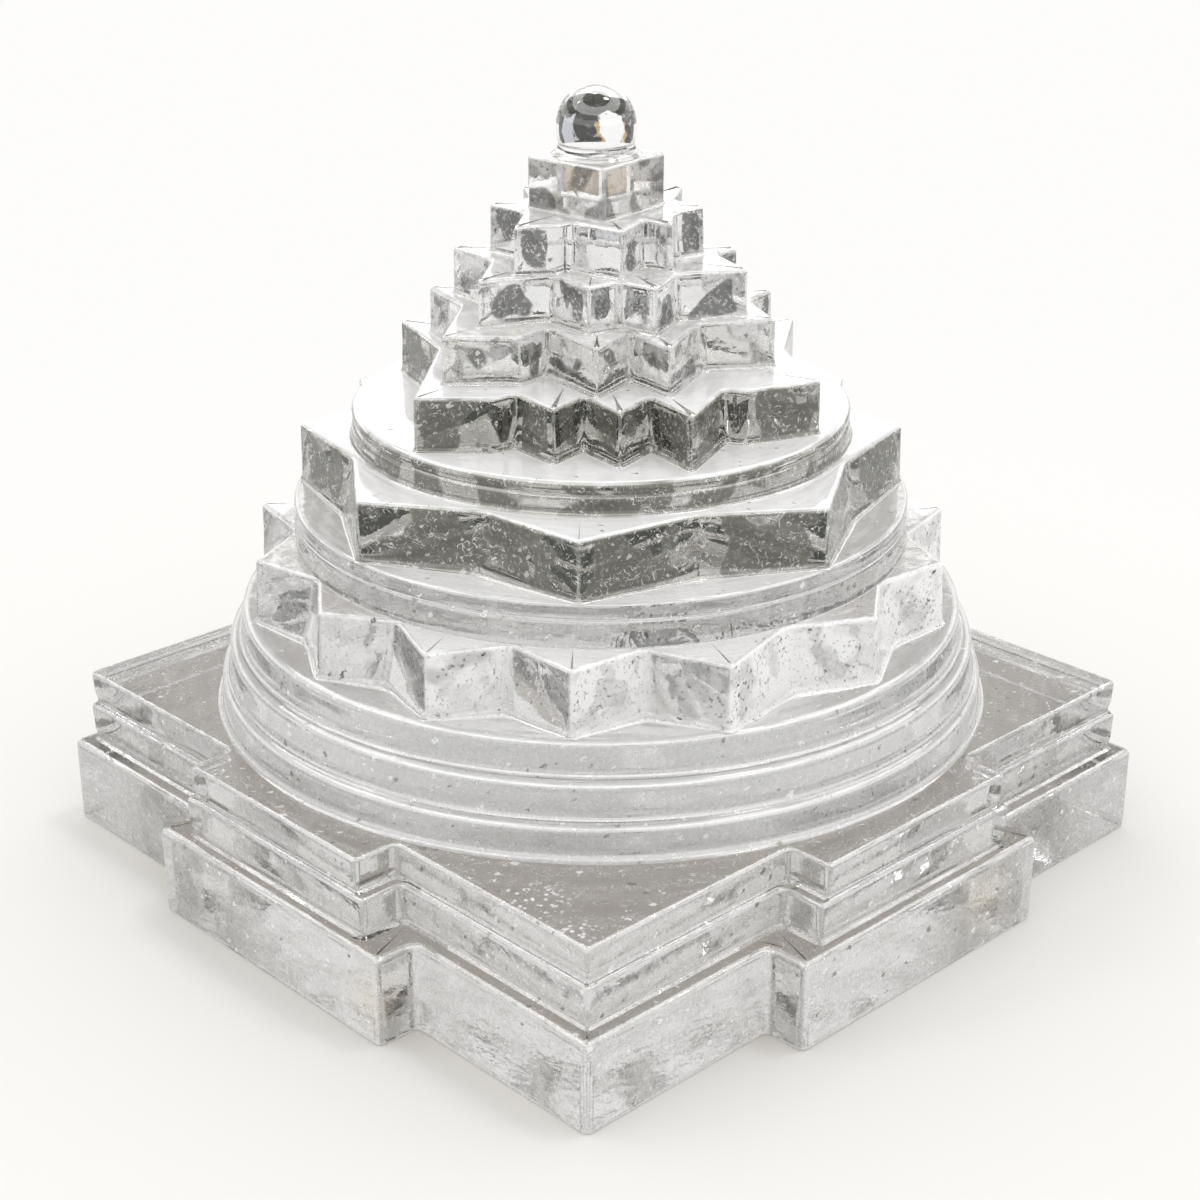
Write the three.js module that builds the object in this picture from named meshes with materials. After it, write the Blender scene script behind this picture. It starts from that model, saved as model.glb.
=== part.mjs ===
import * as THREE from 'three';

// Shri yantra in the raised Meru form, carved in clear rock crystal.
// Millimetres, +Z up. The origin is the centre of the flat underside, and the
// four gates of the square base face +X, -X, +Y and -Y. Every tier is a closed
// solid that rests face to face on the tier below it.

// Square base: three tiers with a gate in the middle of every side
const BASE_HALF_SIDE = 45.0;
const BASE_GATE_HALF_WIDTH = 19.4;
const BASE_GATE_REACH = 5.0;
const BASE_HEIGHT = 10.4;
const BASE_EDGE_ROUND = 0.8;
const BASE_FOOT_CHAMFER = 0.45;
const BASE_CORNER_EASE = 1.1;

const MIDDLE_TIER_LEDGE = 1.7;
const MIDDLE_GATE_END_LEDGE = 3.8;
const MIDDLE_GATE_FACE_LEDGE = 1.4;
const MIDDLE_TIER_HEIGHT = 4.8;

const UPPER_TIER_LEDGE = 0.25;
const UPPER_GATE_END_LEDGE = 1.1;
const UPPER_GATE_FACE_LEDGE = 0.15;
const UPPER_TIER_HEIGHT = 4.2;

const STEP_EDGE_ROUND = 0.45;
const STEP_COVE_DEPTH = 0.35;
const STEP_COVE_HEIGHT = 1.5;
const STEP_CORNER_EASE = 0.8;

// Three circular steps on the square base
const CIRCLE_TO_GATE_FACE = 4.3;
const CIRCLE_LOWER_HEIGHT = 3.9;
const CIRCLE_MIDDLE_LEDGE = 1.15;
const CIRCLE_MIDDLE_HEIGHT = 4.2;
const CIRCLE_UPPER_LEDGE = 1.65;
const CIRCLE_UPPER_HEIGHT = 3.9;
const CIRCLE_LIP_ROUND = 0.4;
const CIRCLE_COVE_REACH = 0.7;
const CIRCLE_COVE_HEIGHT = 1.2;

// Lotus of sixteen petals and the double disc above it
const SIXTEEN_PETAL_LEDGE = 0.2;
const SIXTEEN_PETAL_HEIGHT = 7.4;
const SIXTEEN_PETAL_VALLEY_FILL_SHARE = 0.27;
const SIXTEEN_PETAL_VALLEY_SHARE = 0.852;
const DISC_TO_PETAL_VALLEY = 0.1;
const DISC_LOWER_HEIGHT = 3.1;
const DISC_UPPER_LEDGE = 0.1;
const DISC_UPPER_HEIGHT = 1.8;
const DISC_COVE_REACH = 0.1;
const DISC_COVE_HEIGHT = 0.8;
const DISC_LIP_ROUND = 0.25;

// Lotus of eight petals and the grooved plinth above it
const EIGHT_PETAL_LEDGE = 0.05;
const EIGHT_PETAL_HEIGHT = 6.7;
const EIGHT_PETAL_VALLEY_FILL_SHARE = 0.22;
const EIGHT_PETAL_VALLEY_SHARE = 0.832;
const PLINTH_TO_PETAL_VALLEY = 0.95;
const PLINTH_HEIGHT = 3.7;
const PLINTH_GROOVE_DEPTH = 0.3;
const PLINTH_GROOVE_WIDTH = 0.5;
const PLINTH_COVE_REACH = 0.7;
const PLINTH_COVE_HEIGHT = 0.9;

// Four star tiers of triangle points, each set in from the tier below
const STAR_1_LEDGE = 0.7;
const STAR_1_HEIGHT = 6.0;
const STAR_2_LEDGE = 4.7;
const STAR_2_HEIGHT = 5.4;
const STAR_3_LEDGE = 4.9;
const STAR_3_HEIGHT = 5.2;
const STAR_4_LEDGE = 4.1;
const STAR_4_HEIGHT = 5.3;
const STAR_VALLEY_FILL_SHARE = 0.05;

// Edges of the petals and the triangle points
const PETAL_EDGE_BEVEL = 0.25;
const PETAL_CORNER_EASE = 0.5;
const PETAL_COVE_REACH = 0.15;
const PETAL_COVE_HEIGHT = 0.7;

// Square block, collar and ball at the top, which lean a little off the axis
const BLOCK_SIDE = 10.8;
const BLOCK_HEIGHT = 5.6;
const BLOCK_TURN = 7;
const BLOCK_CORNER_EASE = 0.7;
const BLOCK_EDGE_BEVEL = 0.4;
const BLOCK_COVE_REACH = 0.25;
const BLOCK_COVE_HEIGHT = 0.6;
const FINIAL_SHIFT = 0.5;
const BALL_RADIUS = 4.38;
const BALL_CENTRE_ABOVE_BLOCK = 3.1;
const BALL_LOWER_STRETCH = 5.4;
const COLLAR_HEIGHT = 1.45;
const COLLAR_FLARE = 0.85;

// Colours and roughness of the crystal
const MILKY_QUARTZ = 0xd9dadb;
const CLEAR_QUARTZ = 0xe9ebec;
const SAWN_FINISH = 0.12;
const POLISHED_FINISH = 0.04;

// Angles are degrees from the front corner of the base, on the -45 diagonal.
const FRONT_CORNER_ANGLE = -45;
const CIRCLE_SEGMENTS = 56;
const BALL_SEGMENTS = 36;
const BALL_ARC_STEPS = 8;
const CORNER_STEPS = 2;

// Points of the sixteen-petal lotus: [angle, share of the reach]
const SIXTEEN_PETAL_TIPS = [
  [-98, 0.985], [-72.5, 0.971], [-47.5, 0.961], [-25, 0.983],
  [-3, 0.983], [19.8, 1.0], [48, 0.964], [73.8, 0.966],
  [98.5, 0.983], [119.5, 0.976], [140, 0.98], [160.5, 0.974],
  [181, 0.983], [201.5, 0.976], [222, 0.98], [242.5, 0.974],
];

// Points of the eight-petal lotus: [angle, share of the reach]
const EIGHT_PETAL_TIPS = [
  [-121.5, 0.998], [-91.5, 0.988], [-46, 1.0], [-2.5, 1.0],
  [44, 1.0], [92.5, 0.984], [124, 1.0], [181, 0.994],
];

// Outlines of the star tiers, all corners in turn: [angle, share of the reach]
const STAR_1_CORNERS = [
  [-112, 0.923], [-86, 0.665], [-45, 0.996], [-29, 0.798], [-26.5, 0.707],
  [-11, 0.84], [-4.5, 0.663], [6, 0.86], [17, 0.692], [22, 0.967],
  [41, 0.744], [44, 0.815], [62.5, 0.982], [88, 0.751], [116.5, 0.905],
  [131, 0.725], [142, 0.927], [152, 0.69], [161, 0.86], [170, 0.68],
  [180, 0.9], [190, 0.675], [199, 0.85], [209, 0.69], [219, 0.938], [232, 0.718],
];
const STAR_2_CORNERS = [
  [-103, 0.885], [-80, 0.69], [-47.5, 0.991], [-29, 0.757], [-25.4, 0.56],
  [0, 0.835], [14, 0.589], [22.5, 0.876], [49, 0.628], [68, 0.907],
  [90, 0.73], [101, 0.863], [120, 0.642], [140, 0.894], [160, 0.602],
  [181, 0.85], [201, 0.597], [221, 0.898], [240, 0.655],
];
const STAR_3_CORNERS = [
  [-97.4, 0.944], [-76, 0.69], [-46.8, 0.989], [-27.9, 0.6], [-4, 0.798],
  [11.2, 0.674], [22.8, 0.882], [43.9, 0.67], [67.5, 0.978], [90, 0.72],
  [99.5, 0.865], [118, 0.618], [139, 0.888], [160, 0.596], [181, 0.843],
  [202, 0.596], [222, 0.893], [243, 0.629],
];
const STAR_4_CORNERS = [
  [-91.8, 0.905], [-70, 0.65], [-42, 0.993], [-25.5, 0.737], [-20.2, 0.61],
  [12, 0.861], [36, 0.569], [43.2, 0.839], [68, 0.635], [88, 0.832],
  [110, 0.628], [135.6, 0.949], [158, 0.599], [180, 0.861], [202, 0.599],
  [226, 0.92], [247, 0.642],
];

function polar(angle, radius) {
  const turn = THREE.MathUtils.degToRad(angle + FRONT_CORNER_ANGLE);
  return new THREE.Vector2(radius * Math.cos(turn), radius * Math.sin(turn));
}

// Corners of a square with a gate standing out of each side, anticlockwise
function gatedSquare(half, gateHalf, gateReach) {
  const corners = [];
  for (let side = 0; side < 4; side++) {
    const quarter = [
      [half, -half],
      [half, -gateHalf],
      [half + gateReach, -gateHalf],
      [half + gateReach, gateHalf],
      [half, gateHalf],
    ];
    for (const [x, y] of quarter) {
      corners.push(new THREE.Vector2(x, y).rotateAround(new THREE.Vector2(), (side * Math.PI) / 2));
    }
  }
  return corners;
}

// Corners of a lotus: the given tips, and a valley half way between each two
function lotusCorners(tips, valleyShare) {
  return tips.flatMap(([angle, share], i) => {
    const last = i + 1 === tips.length;
    const next = last ? tips[0][0] + 360 : tips[i + 1][0];
    return [[angle, share], [(angle + next) / 2, valleyShare]];
  });
}

// Each corner becomes a short quadratic curve that starts and ends `ease` away
// from it, or nearer where the sides are short.
function easeCorners(corners, ease) {
  return corners.flatMap((corner, i) => {
    const before = corners[(i + corners.length - 1) % corners.length];
    const after = corners[(i + 1) % corners.length];
    const start = corner.clone().lerp(before, Math.min(0.45, ease / corner.distanceTo(before)));
    const end = corner.clone().lerp(after, Math.min(0.45, ease / corner.distanceTo(after)));
    return new THREE.QuadraticBezierCurve(start, corner, end).getPoints(CORNER_STEPS);
  });
}

// Moves every side of an anticlockwise outline inwards by `distance`, with
// mitred corners; a negative distance moves it outwards.
function inset(outline, distance) {
  const count = outline.length;
  const inward = outline.map((point, i) => {
    const side = outline[(i + 1) % count].clone().sub(point).normalize();
    return new THREE.Vector2(-side.y, side.x);
  });
  return outline.map((point, i) => {
    const first = inward[(i + count - 1) % count];
    const second = inward[i];
    const reach = distance / (1 + first.dot(second));
    return point.clone().addScaledVector(first, reach).addScaledVector(second, reach);
  });
}

// Closed solid through outlines that have the same number of points
function loft(levels) {
  const count = levels[0].outline.length;
  const positions = levels.flatMap(({ z, outline }) => outline.flatMap(({ x, y }) => [x, y, z]));
  const faces = [];
  for (let level = 0; level + 1 < levels.length; level++) {
    for (let i = 0; i < count; i++) {
      const a = level * count + i;
      const b = level * count + ((i + 1) % count);
      faces.push(a, b, b + count, a, b + count, a + count);
    }
  }
  const top = (levels.length - 1) * count;
  for (const [a, b, c] of THREE.ShapeUtils.triangulateShape(levels[0].outline, [])) {
    faces.push(a, c, b);
  }
  for (const [a, b, c] of THREE.ShapeUtils.triangulateShape(levels.at(-1).outline, [])) {
    faces.push(top + a, top + b, top + c);
  }
  const geometry = new THREE.BufferGeometry();
  geometry.setAttribute('position', new THREE.Float32BufferAttribute(positions, 3));
  geometry.setIndex(faces);
  geometry.computeVertexNormals();
  return geometry;
}

// Turned solid; the profile is a list of [radius, height] from the foot up, and
// the apex is the height at which the top meets the axis.
function turned(profile, foot, segments, apex = profile.at(-1)[1]) {
  const points = [[0, profile[0][1]], ...profile, [0, apex]];
  const outline = points.map(([radius, z]) => new THREE.Vector2(radius, foot + z));
  return new THREE.LatheGeometry(outline, segments).rotateX(Math.PI / 2);
}

// Side of a base tier: rounded top edge, and either a chamfered foot or a cove
function baseTier(corners, ease, foot, height, edge, footProfile) {
  const outline = easeCorners(corners, ease);
  const profile = [
    ...footProfile,
    [height - edge, 0],
    [height - 0.3 * edge, 0.25 * edge],
    [height, edge],
  ];
  return loft(profile.map(([z, depth]) => ({ z: foot + z, outline: inset(outline, depth) })));
}

// Circular step with a cove at its foot and a rounded lip
function circleStep(radius, foot, height, lip, coveReach, coveHeight) {
  const profile = [
    [radius + coveReach, 0],
    [radius + 0.3 * coveReach, 0.3 * coveHeight],
    [radius, coveHeight],
    [radius, height - lip],
    [radius - 0.3 * lip, height - 0.3 * lip],
    [radius - lip, height],
  ];
  return turned(profile, foot, CIRCLE_SEGMENTS);
}

// Plinth with a groove round the middle of its side
function groovedPlinth(radius, foot) {
  const middle = (PLINTH_HEIGHT + PLINTH_COVE_HEIGHT) / 2;
  const halfGroove = PLINTH_GROOVE_WIDTH / 2;
  const profile = [
    [radius + PLINTH_COVE_REACH, 0],
    [radius + 0.3 * PLINTH_COVE_REACH, 0.35 * PLINTH_COVE_HEIGHT],
    [radius, PLINTH_COVE_HEIGHT],
    [radius, middle - halfGroove],
    [radius - PLINTH_GROOVE_DEPTH, middle],
    [radius, middle + halfGroove],
    [radius, PLINTH_HEIGHT - CIRCLE_LIP_ROUND],
    [radius - CIRCLE_LIP_ROUND, PLINTH_HEIGHT],
  ];
  return turned(profile, foot, CIRCLE_SEGMENTS);
}

// Petal or star tier. Its valleys fill up a little towards the foot, where a
// small cove runs out onto the tier below.
function carvedTier(corners, reach, foot, height, valleyFill) {
  const topRadius = corners.map(([, share]) => share * reach);
  const outlineAt = (fill) => easeCorners(
    corners.map(([angle], i) => polar(angle, topRadius[i] + fill * (reach - topRadius[i]))),
    PETAL_CORNER_EASE,
  );
  const footOutline = outlineAt(valleyFill);
  const topOutline = outlineAt(0);
  return loft([
    { z: foot, outline: inset(footOutline, -PETAL_COVE_REACH) },
    { z: foot + PETAL_COVE_HEIGHT, outline: footOutline },
    { z: foot + height - PETAL_EDGE_BEVEL, outline: topOutline },
    { z: foot + height, outline: inset(topOutline, PETAL_EDGE_BEVEL) },
  ]);
}

// Square block under the ball, turned a little against the base
function capBlock(foot) {
  const halfDiagonal = BLOCK_SIDE / Math.SQRT2;
  const corners = [0, 90, 180, 270].map((angle) => polar(angle + BLOCK_TURN, halfDiagonal));
  const outline = easeCorners(corners, BLOCK_CORNER_EASE);
  return loft([
    { z: foot, outline: inset(outline, -BLOCK_COVE_REACH) },
    { z: foot + BLOCK_COVE_HEIGHT, outline },
    { z: foot + BLOCK_HEIGHT - BLOCK_EDGE_BEVEL, outline },
    { z: foot + BLOCK_HEIGHT, outline: inset(outline, BLOCK_EDGE_BEVEL) },
  ]);
}

// Radius of the ball at a height from its centre; its lower half is stretched
function ballRadiusAt(height) {
  const half = height < 0 ? BALL_LOWER_STRETCH : BALL_RADIUS;
  return BALL_RADIUS * Math.sqrt(Math.max(0, 1 - (height / half) ** 2));
}

const BALL_SEAT = COLLAR_HEIGHT - BALL_CENTRE_ABOVE_BLOCK;

function collar(foot) {
  const neck = ballRadiusAt(BALL_SEAT);
  const profile = [
    [neck + COLLAR_FLARE, 0],
    [neck + 0.3 * COLLAR_FLARE, 0.25 * COLLAR_HEIGHT],
    [neck - 0.1 * COLLAR_FLARE, 0.6 * COLLAR_HEIGHT],
    [neck, COLLAR_HEIGHT],
  ];
  return turned(profile, foot, BALL_SEGMENTS);
}

function ball(foot) {
  const centre = -BALL_SEAT;
  const lowest = Math.asin(BALL_SEAT / BALL_LOWER_STRETCH);
  const profile = [];
  for (const share of [0, 0.5]) {
    const height = BALL_LOWER_STRETCH * Math.sin(lowest * (1 - share));
    profile.push([ballRadiusAt(height), centre + height]);
  }
  for (let step = 0; step < BALL_ARC_STEPS; step++) {
    const rise = (step / BALL_ARC_STEPS) * (Math.PI / 2);
    profile.push([BALL_RADIUS * Math.cos(rise), centre + BALL_RADIUS * Math.sin(rise)]);
  }
  return turned(profile, foot, BALL_SEGMENTS, centre + BALL_RADIUS);
}

const group = new THREE.Group();
let level = 0;

function place(name, geometry, colour, roughness) {
  const material = new THREE.MeshStandardMaterial({ color: colour, roughness, metalness: 0 });
  const mesh = new THREE.Mesh(geometry, material);
  mesh.name = name;
  group.add(mesh);
  return mesh;
}

// Square base
const middleHalf = BASE_HALF_SIDE - MIDDLE_TIER_LEDGE;
const upperHalf = middleHalf - UPPER_TIER_LEDGE;
const middleGateHalf = BASE_GATE_HALF_WIDTH - MIDDLE_GATE_END_LEDGE;
const upperGateHalf = middleGateHalf - UPPER_GATE_END_LEDGE;
const middleGateFace = BASE_HALF_SIDE + BASE_GATE_REACH - MIDDLE_GATE_FACE_LEDGE;
const upperGateFace = middleGateFace - UPPER_GATE_FACE_LEDGE;

const lowerCorners = gatedSquare(BASE_HALF_SIDE, BASE_GATE_HALF_WIDTH, BASE_GATE_REACH);
const chamferedFoot = [[0, BASE_FOOT_CHAMFER], [BASE_FOOT_CHAMFER, 0]];
const lowerTier = baseTier(
  lowerCorners, BASE_CORNER_EASE, level, BASE_HEIGHT, BASE_EDGE_ROUND, chamferedFoot,
);
place('bhupura_lower_tier', lowerTier, MILKY_QUARTZ, SAWN_FINISH);
level += BASE_HEIGHT;

const covedFoot = [
  [0, 0],
  [0.35 * STEP_COVE_HEIGHT, STEP_COVE_DEPTH],
  [STEP_COVE_HEIGHT, 0.4 * STEP_COVE_DEPTH],
];
const stepTiers = [
  ['bhupura_middle_tier', middleHalf, middleGateHalf, middleGateFace, MIDDLE_TIER_HEIGHT],
  ['bhupura_upper_tier', upperHalf, upperGateHalf, upperGateFace, UPPER_TIER_HEIGHT],
];
for (const [name, half, gateHalf, gateFace, height] of stepTiers) {
  const corners = gatedSquare(half, gateHalf, gateFace - half);
  const geometry = baseTier(corners, STEP_CORNER_EASE, level, height, STEP_EDGE_ROUND, covedFoot);
  place(name, geometry, MILKY_QUARTZ, SAWN_FINISH);
  level += height;
}

// Circular steps
const lowerCircle = upperGateFace - CIRCLE_TO_GATE_FACE;
const middleCircle = lowerCircle - CIRCLE_MIDDLE_LEDGE;
const upperCircle = middleCircle - CIRCLE_UPPER_LEDGE;
const circleSteps = [
  ['circle_step_lower', lowerCircle, CIRCLE_LOWER_HEIGHT],
  ['circle_step_middle', middleCircle, CIRCLE_MIDDLE_HEIGHT],
  ['circle_step_upper', upperCircle, CIRCLE_UPPER_HEIGHT],
];
for (const [name, radius, height] of circleSteps) {
  const geometry = circleStep(
    radius, level, height, CIRCLE_LIP_ROUND, CIRCLE_COVE_REACH, CIRCLE_COVE_HEIGHT,
  );
  place(name, geometry, MILKY_QUARTZ, SAWN_FINISH);
  level += height;
}

// Sixteen-petal lotus and the double disc
const sixteenReach = upperCircle - SIXTEEN_PETAL_LEDGE;
const sixteenCorners = lotusCorners(SIXTEEN_PETAL_TIPS, SIXTEEN_PETAL_VALLEY_SHARE);
const sixteenPetals = carvedTier(
  sixteenCorners, sixteenReach, level, SIXTEEN_PETAL_HEIGHT, SIXTEEN_PETAL_VALLEY_FILL_SHARE,
);
place('sixteen_petal_lotus', sixteenPetals, CLEAR_QUARTZ, POLISHED_FINISH);
level += SIXTEEN_PETAL_HEIGHT;

const lowerDisc = sixteenReach * SIXTEEN_PETAL_VALLEY_SHARE - DISC_TO_PETAL_VALLEY;
const upperDisc = lowerDisc - DISC_UPPER_LEDGE;
const discs = [
  ['lotus_disc_lower', lowerDisc, DISC_LOWER_HEIGHT],
  ['lotus_disc_upper', upperDisc, DISC_UPPER_HEIGHT],
];
for (const [name, radius, height] of discs) {
  const geometry = circleStep(radius, level, height, DISC_LIP_ROUND, DISC_COVE_REACH, DISC_COVE_HEIGHT);
  place(name, geometry, CLEAR_QUARTZ, POLISHED_FINISH);
  level += height;
}

// Eight-petal lotus and the grooved plinth
const eightReach = upperDisc - EIGHT_PETAL_LEDGE;
const eightCorners = lotusCorners(EIGHT_PETAL_TIPS, EIGHT_PETAL_VALLEY_SHARE);
const eightPetals = carvedTier(
  eightCorners, eightReach, level, EIGHT_PETAL_HEIGHT, EIGHT_PETAL_VALLEY_FILL_SHARE,
);
place('eight_petal_lotus', eightPetals, CLEAR_QUARTZ, POLISHED_FINISH);
level += EIGHT_PETAL_HEIGHT;

const plinthRadius = eightReach * EIGHT_PETAL_VALLEY_SHARE - PLINTH_TO_PETAL_VALLEY;
place('triangle_plinth', groovedPlinth(plinthRadius, level), CLEAR_QUARTZ, POLISHED_FINISH);
level += PLINTH_HEIGHT;

// Star tiers
const stars = [
  ['star_tier_lowest', STAR_1_CORNERS, STAR_1_LEDGE, STAR_1_HEIGHT],
  ['star_tier_second', STAR_2_CORNERS, STAR_2_LEDGE, STAR_2_HEIGHT],
  ['star_tier_third', STAR_3_CORNERS, STAR_3_LEDGE, STAR_3_HEIGHT],
  ['star_tier_top', STAR_4_CORNERS, STAR_4_LEDGE, STAR_4_HEIGHT],
];
let reach = plinthRadius;
for (const [name, corners, ledge, height] of stars) {
  reach -= ledge;
  const geometry = carvedTier(corners, reach, level, height, STAR_VALLEY_FILL_SHARE);
  place(name, geometry, CLEAR_QUARTZ, POLISHED_FINISH);
  level += height;
}

// Block, collar and ball
const finial = [
  ['square_cap_block', capBlock(level), BLOCK_HEIGHT],
  ['bindu_collar', collar(level + BLOCK_HEIGHT), COLLAR_HEIGHT],
  ['bindu_ball', ball(level + BLOCK_HEIGHT + COLLAR_HEIGHT), 0],
];
for (const [name, geometry] of finial) {
  const mesh = place(name, geometry, CLEAR_QUARTZ, POLISHED_FINISH);
  mesh.position.set(-FINIAL_SHIFT / Math.SQRT2, -FINIAL_SHIFT / Math.SQRT2, 0);
}

export default group;
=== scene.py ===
"""Shri yantra in the raised Meru form, carved in clear rock crystal.

All sizes are millimetres and all angles degrees until a mesh is made. The
object stands on the floor with its axis on Z, and the four gates of its square
base face +X, -X, +Y and -Y. Each tier of the carving is a closed shell. Where
two tiers meet, both shells carry the same flat face, which lets light through
unbent, so that the tiers read as one block of crystal.
"""

import logging
import math
from dataclasses import dataclass
from enum import Enum
from functools import reduce
from typing import Optional

import bpy
import numpy as np
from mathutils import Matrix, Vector


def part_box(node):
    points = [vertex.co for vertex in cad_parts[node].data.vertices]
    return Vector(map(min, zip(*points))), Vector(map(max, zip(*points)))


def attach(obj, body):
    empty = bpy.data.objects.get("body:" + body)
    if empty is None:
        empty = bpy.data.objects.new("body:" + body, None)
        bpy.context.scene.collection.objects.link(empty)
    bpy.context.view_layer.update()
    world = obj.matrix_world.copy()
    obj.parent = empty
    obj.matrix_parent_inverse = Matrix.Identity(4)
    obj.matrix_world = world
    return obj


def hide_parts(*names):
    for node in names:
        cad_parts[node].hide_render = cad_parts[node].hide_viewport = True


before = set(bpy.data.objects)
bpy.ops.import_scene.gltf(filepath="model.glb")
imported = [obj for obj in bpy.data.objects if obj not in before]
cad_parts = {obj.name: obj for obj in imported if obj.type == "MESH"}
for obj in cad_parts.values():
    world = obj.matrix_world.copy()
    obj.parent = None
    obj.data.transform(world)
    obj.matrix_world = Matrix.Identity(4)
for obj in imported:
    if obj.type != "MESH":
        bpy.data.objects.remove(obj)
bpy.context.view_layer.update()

LOG = logging.getLogger("shri_yantra")
METRE = 0.001  # one millimetre in metres
FRONT_CORNER = -45.0  # angle of the base's front corner from +X
PAINTED_LIGHT_BEARING = 80.0  # angle, from the front corner, of the painted side light on the milk
PAINTED_LIGHT_STEEPNESS = 0.8  # how fast the painted side light fades as a side turns away from it
SHARP_ANGLE = 40.0  # edges that turn by more are drawn sharp
RIDGE_TURN = (5.0, 11.0)  # an outline's turn at which a ridge begins and is full
RIDGE_HIGHLIGHT = 0.8  # painted highlight of an upright ridge, beside 1 of a top edge
COVE_SHINE = 0.75  # the same for the hollow at a foot
LIP_REST = 1.35  # how far flat rows lie from a top edge, in sizes of the edge
COVE_REST = 1.25  # the same over a hollow, in heights of the hollow

QUARTZ_IOR = 1.544
POLISHED = 0.02  # roughness
TAN_STAIN = (0.66, 0.56, 0.38, 1.0)
# white of flecks, scratches, grain and pebbles, and of the painted highlights along edges
WHITE_MARK_AND_HIGHLIGHT = (0.96, 0.96, 0.965, 1.0)
BROWN_DOT = (0.14, 0.12, 0.09, 1.0)
SHADOW_TINT = (0.80, 0.785, 0.76, 1.0)
BOUNCE_TINT = (0.56, 0.54, 0.515, 1.0)

Colour = tuple[float, float, float, float]
Point = tuple[float, float, float]
Pair = tuple[float, float]
Places = tuple[float, float, float, float]


class Slot(Enum):
    """Material slots of the record."""

    CLEAR = "clear_quartz"
    MILKY = "milky_quartz"


class Polish(Enum):
    """Finishes of the carving, with the record's slot of each."""

    CLOUDY = ("cloudy", Slot.MILKY)
    TURNED = ("turned", Slot.MILKY)
    RINGED = ("ringed", Slot.CLEAR)
    VEINED = ("veined", Slot.CLEAR)
    DEEP = ("deep", Slot.CLEAR)
    MOTTLED = ("mottled", Slot.CLEAR)
    BLOCK = ("block", Slot.CLEAR)
    LENS = ("lens", Slot.CLEAR)


def polar(angle: np.ndarray, radius: np.ndarray) -> np.ndarray:
    """Points at angles from the front corner of the base.

    Args:
        angle: angles from the front corner, anticlockwise.
        radius: distances from the axis.

    Returns:
        Points with x = r cos(a), y = r sin(a), shape (..., 2).
    """
    turn = np.radians(np.asarray(angle) + FRONT_CORNER)
    return np.stack([radius * np.cos(turn), radius * np.sin(turn)], axis=-1)


def circle(radius: float, count: int) -> np.ndarray:
    """Closed circle of `count` points about the axis, shape (count, 2)."""
    return polar(np.arange(count) * 360.0 / count, np.full(count, radius))


def eased(corners: np.ndarray, ease: np.ndarray, curve: int, flat: int) -> np.ndarray:
    """Rounds the corners of closed polygons and samples their sides.

    A corner C becomes the quadratic curve (1-t)^2 A + 2t(1-t) C + t^2 B, whose
    ends A and B lie `ease` away on the two sides, or `most` of a side where
    that is less. The side between two curves gets evenly spaced points, the
    first and last of them a share `near` from its ends.

    Args:
        corners: polygons, anticlockwise, shape (..., n, 2).
        ease: distance from each corner to the ends of its curve, shape (n,).
        curve: points on each curve.
        flat: points on each side between the curves.

    Returns:
        Closed outlines, shape (..., n * (curve + flat), 2).
    """
    most, near = 0.45, 0.03
    before = np.roll(corners, 1, axis=-2) - corners
    after = np.roll(corners, -1, axis=-2) - corners
    reach = ease[..., None]
    share_before = np.minimum(most, reach / np.linalg.norm(before, axis=-1, keepdims=True))
    share_after = np.minimum(most, reach / np.linalg.norm(after, axis=-1, keepdims=True))
    start = corners + before * share_before
    end = corners + after * share_after
    t = np.linspace(0.0, 1.0, curve)[:, None]
    bends = (
        (1 - t) ** 2 * start[..., None, :]
        + 2 * t * (1 - t) * corners[..., None, :]
        + t**2 * end[..., None, :]
    )
    following = np.roll(start, -1, axis=-2)
    s = np.linspace(near, 1 - near, flat)[:, None]
    sides = end[..., None, :] * (1 - s) + following[..., None, :] * s
    outline = np.concatenate([bends, sides], axis=-2)
    return outline.reshape(*corners.shape[:-2], -1, 2)


def inward(outline: np.ndarray) -> np.ndarray:
    """Mitred inward direction at each point of closed outlines.

    The direction is (n1 + n2) / (1 + n1.n2) for the inward normals n1 and n2 of
    the two sides that meet in the point, so that a move by d along it moves
    both sides by d. The divisor stays above `least`, so that no tip shoots out.

    Args:
        outline: anticlockwise outlines, shape (..., N, 2).

    Returns:
        Directions, shape (..., N, 2).
    """
    least = 0.4
    side = np.roll(outline, -1, axis=-2) - outline
    side = side / np.maximum(np.linalg.norm(side, axis=-1, keepdims=True), 1e-9)
    normal = np.stack([-side[..., 1], side[..., 0]], axis=-1)
    first = np.roll(normal, 1, axis=-2)
    share = 1 + np.sum(first * normal, axis=-1, keepdims=True)
    return (first + normal) / np.maximum(share, least)


def ridge(outline: np.ndarray) -> np.ndarray:
    """How sharply closed outlines bend outwards at each point.

    Args:
        outline: anticlockwise outlines, shape (..., N, 2).

    Returns:
        0 up to the smaller turn of RIDGE_TURN, 1 from the larger one on, shape
        (..., N).
    """
    side = np.roll(outline, -1, axis=-2) - outline
    last = np.roll(side, 1, axis=-2)
    cross = last[..., 0] * side[..., 1] - last[..., 1] * side[..., 0]
    turn = np.degrees(np.arctan2(cross, np.sum(last * side, axis=-1)))
    start, full = RIDGE_TURN
    return np.clip((turn - start) / (full - start), 0.0, 1.0)


def facing_painted_light(home: np.ndarray) -> np.ndarray:
    """How far points face the bearing of the painted side light on the milky veils.

    It is 0.5 + k (o . d), kept within 0 and 1, for the outward direction o, the
    direction d of PAINTED_LIGHT_BEARING and k of PAINTED_LIGHT_STEEPNESS.

    Args:
        home: inward directions, shape (..., N, 2).

    Returns:
        The level at each point, shape (..., N).
    """
    away = polar(np.array(PAINTED_LIGHT_BEARING), np.array(1.0))
    return np.clip(0.5 - PAINTED_LIGHT_STEEPNESS * home @ away, 0.0, 1.0)


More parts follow.
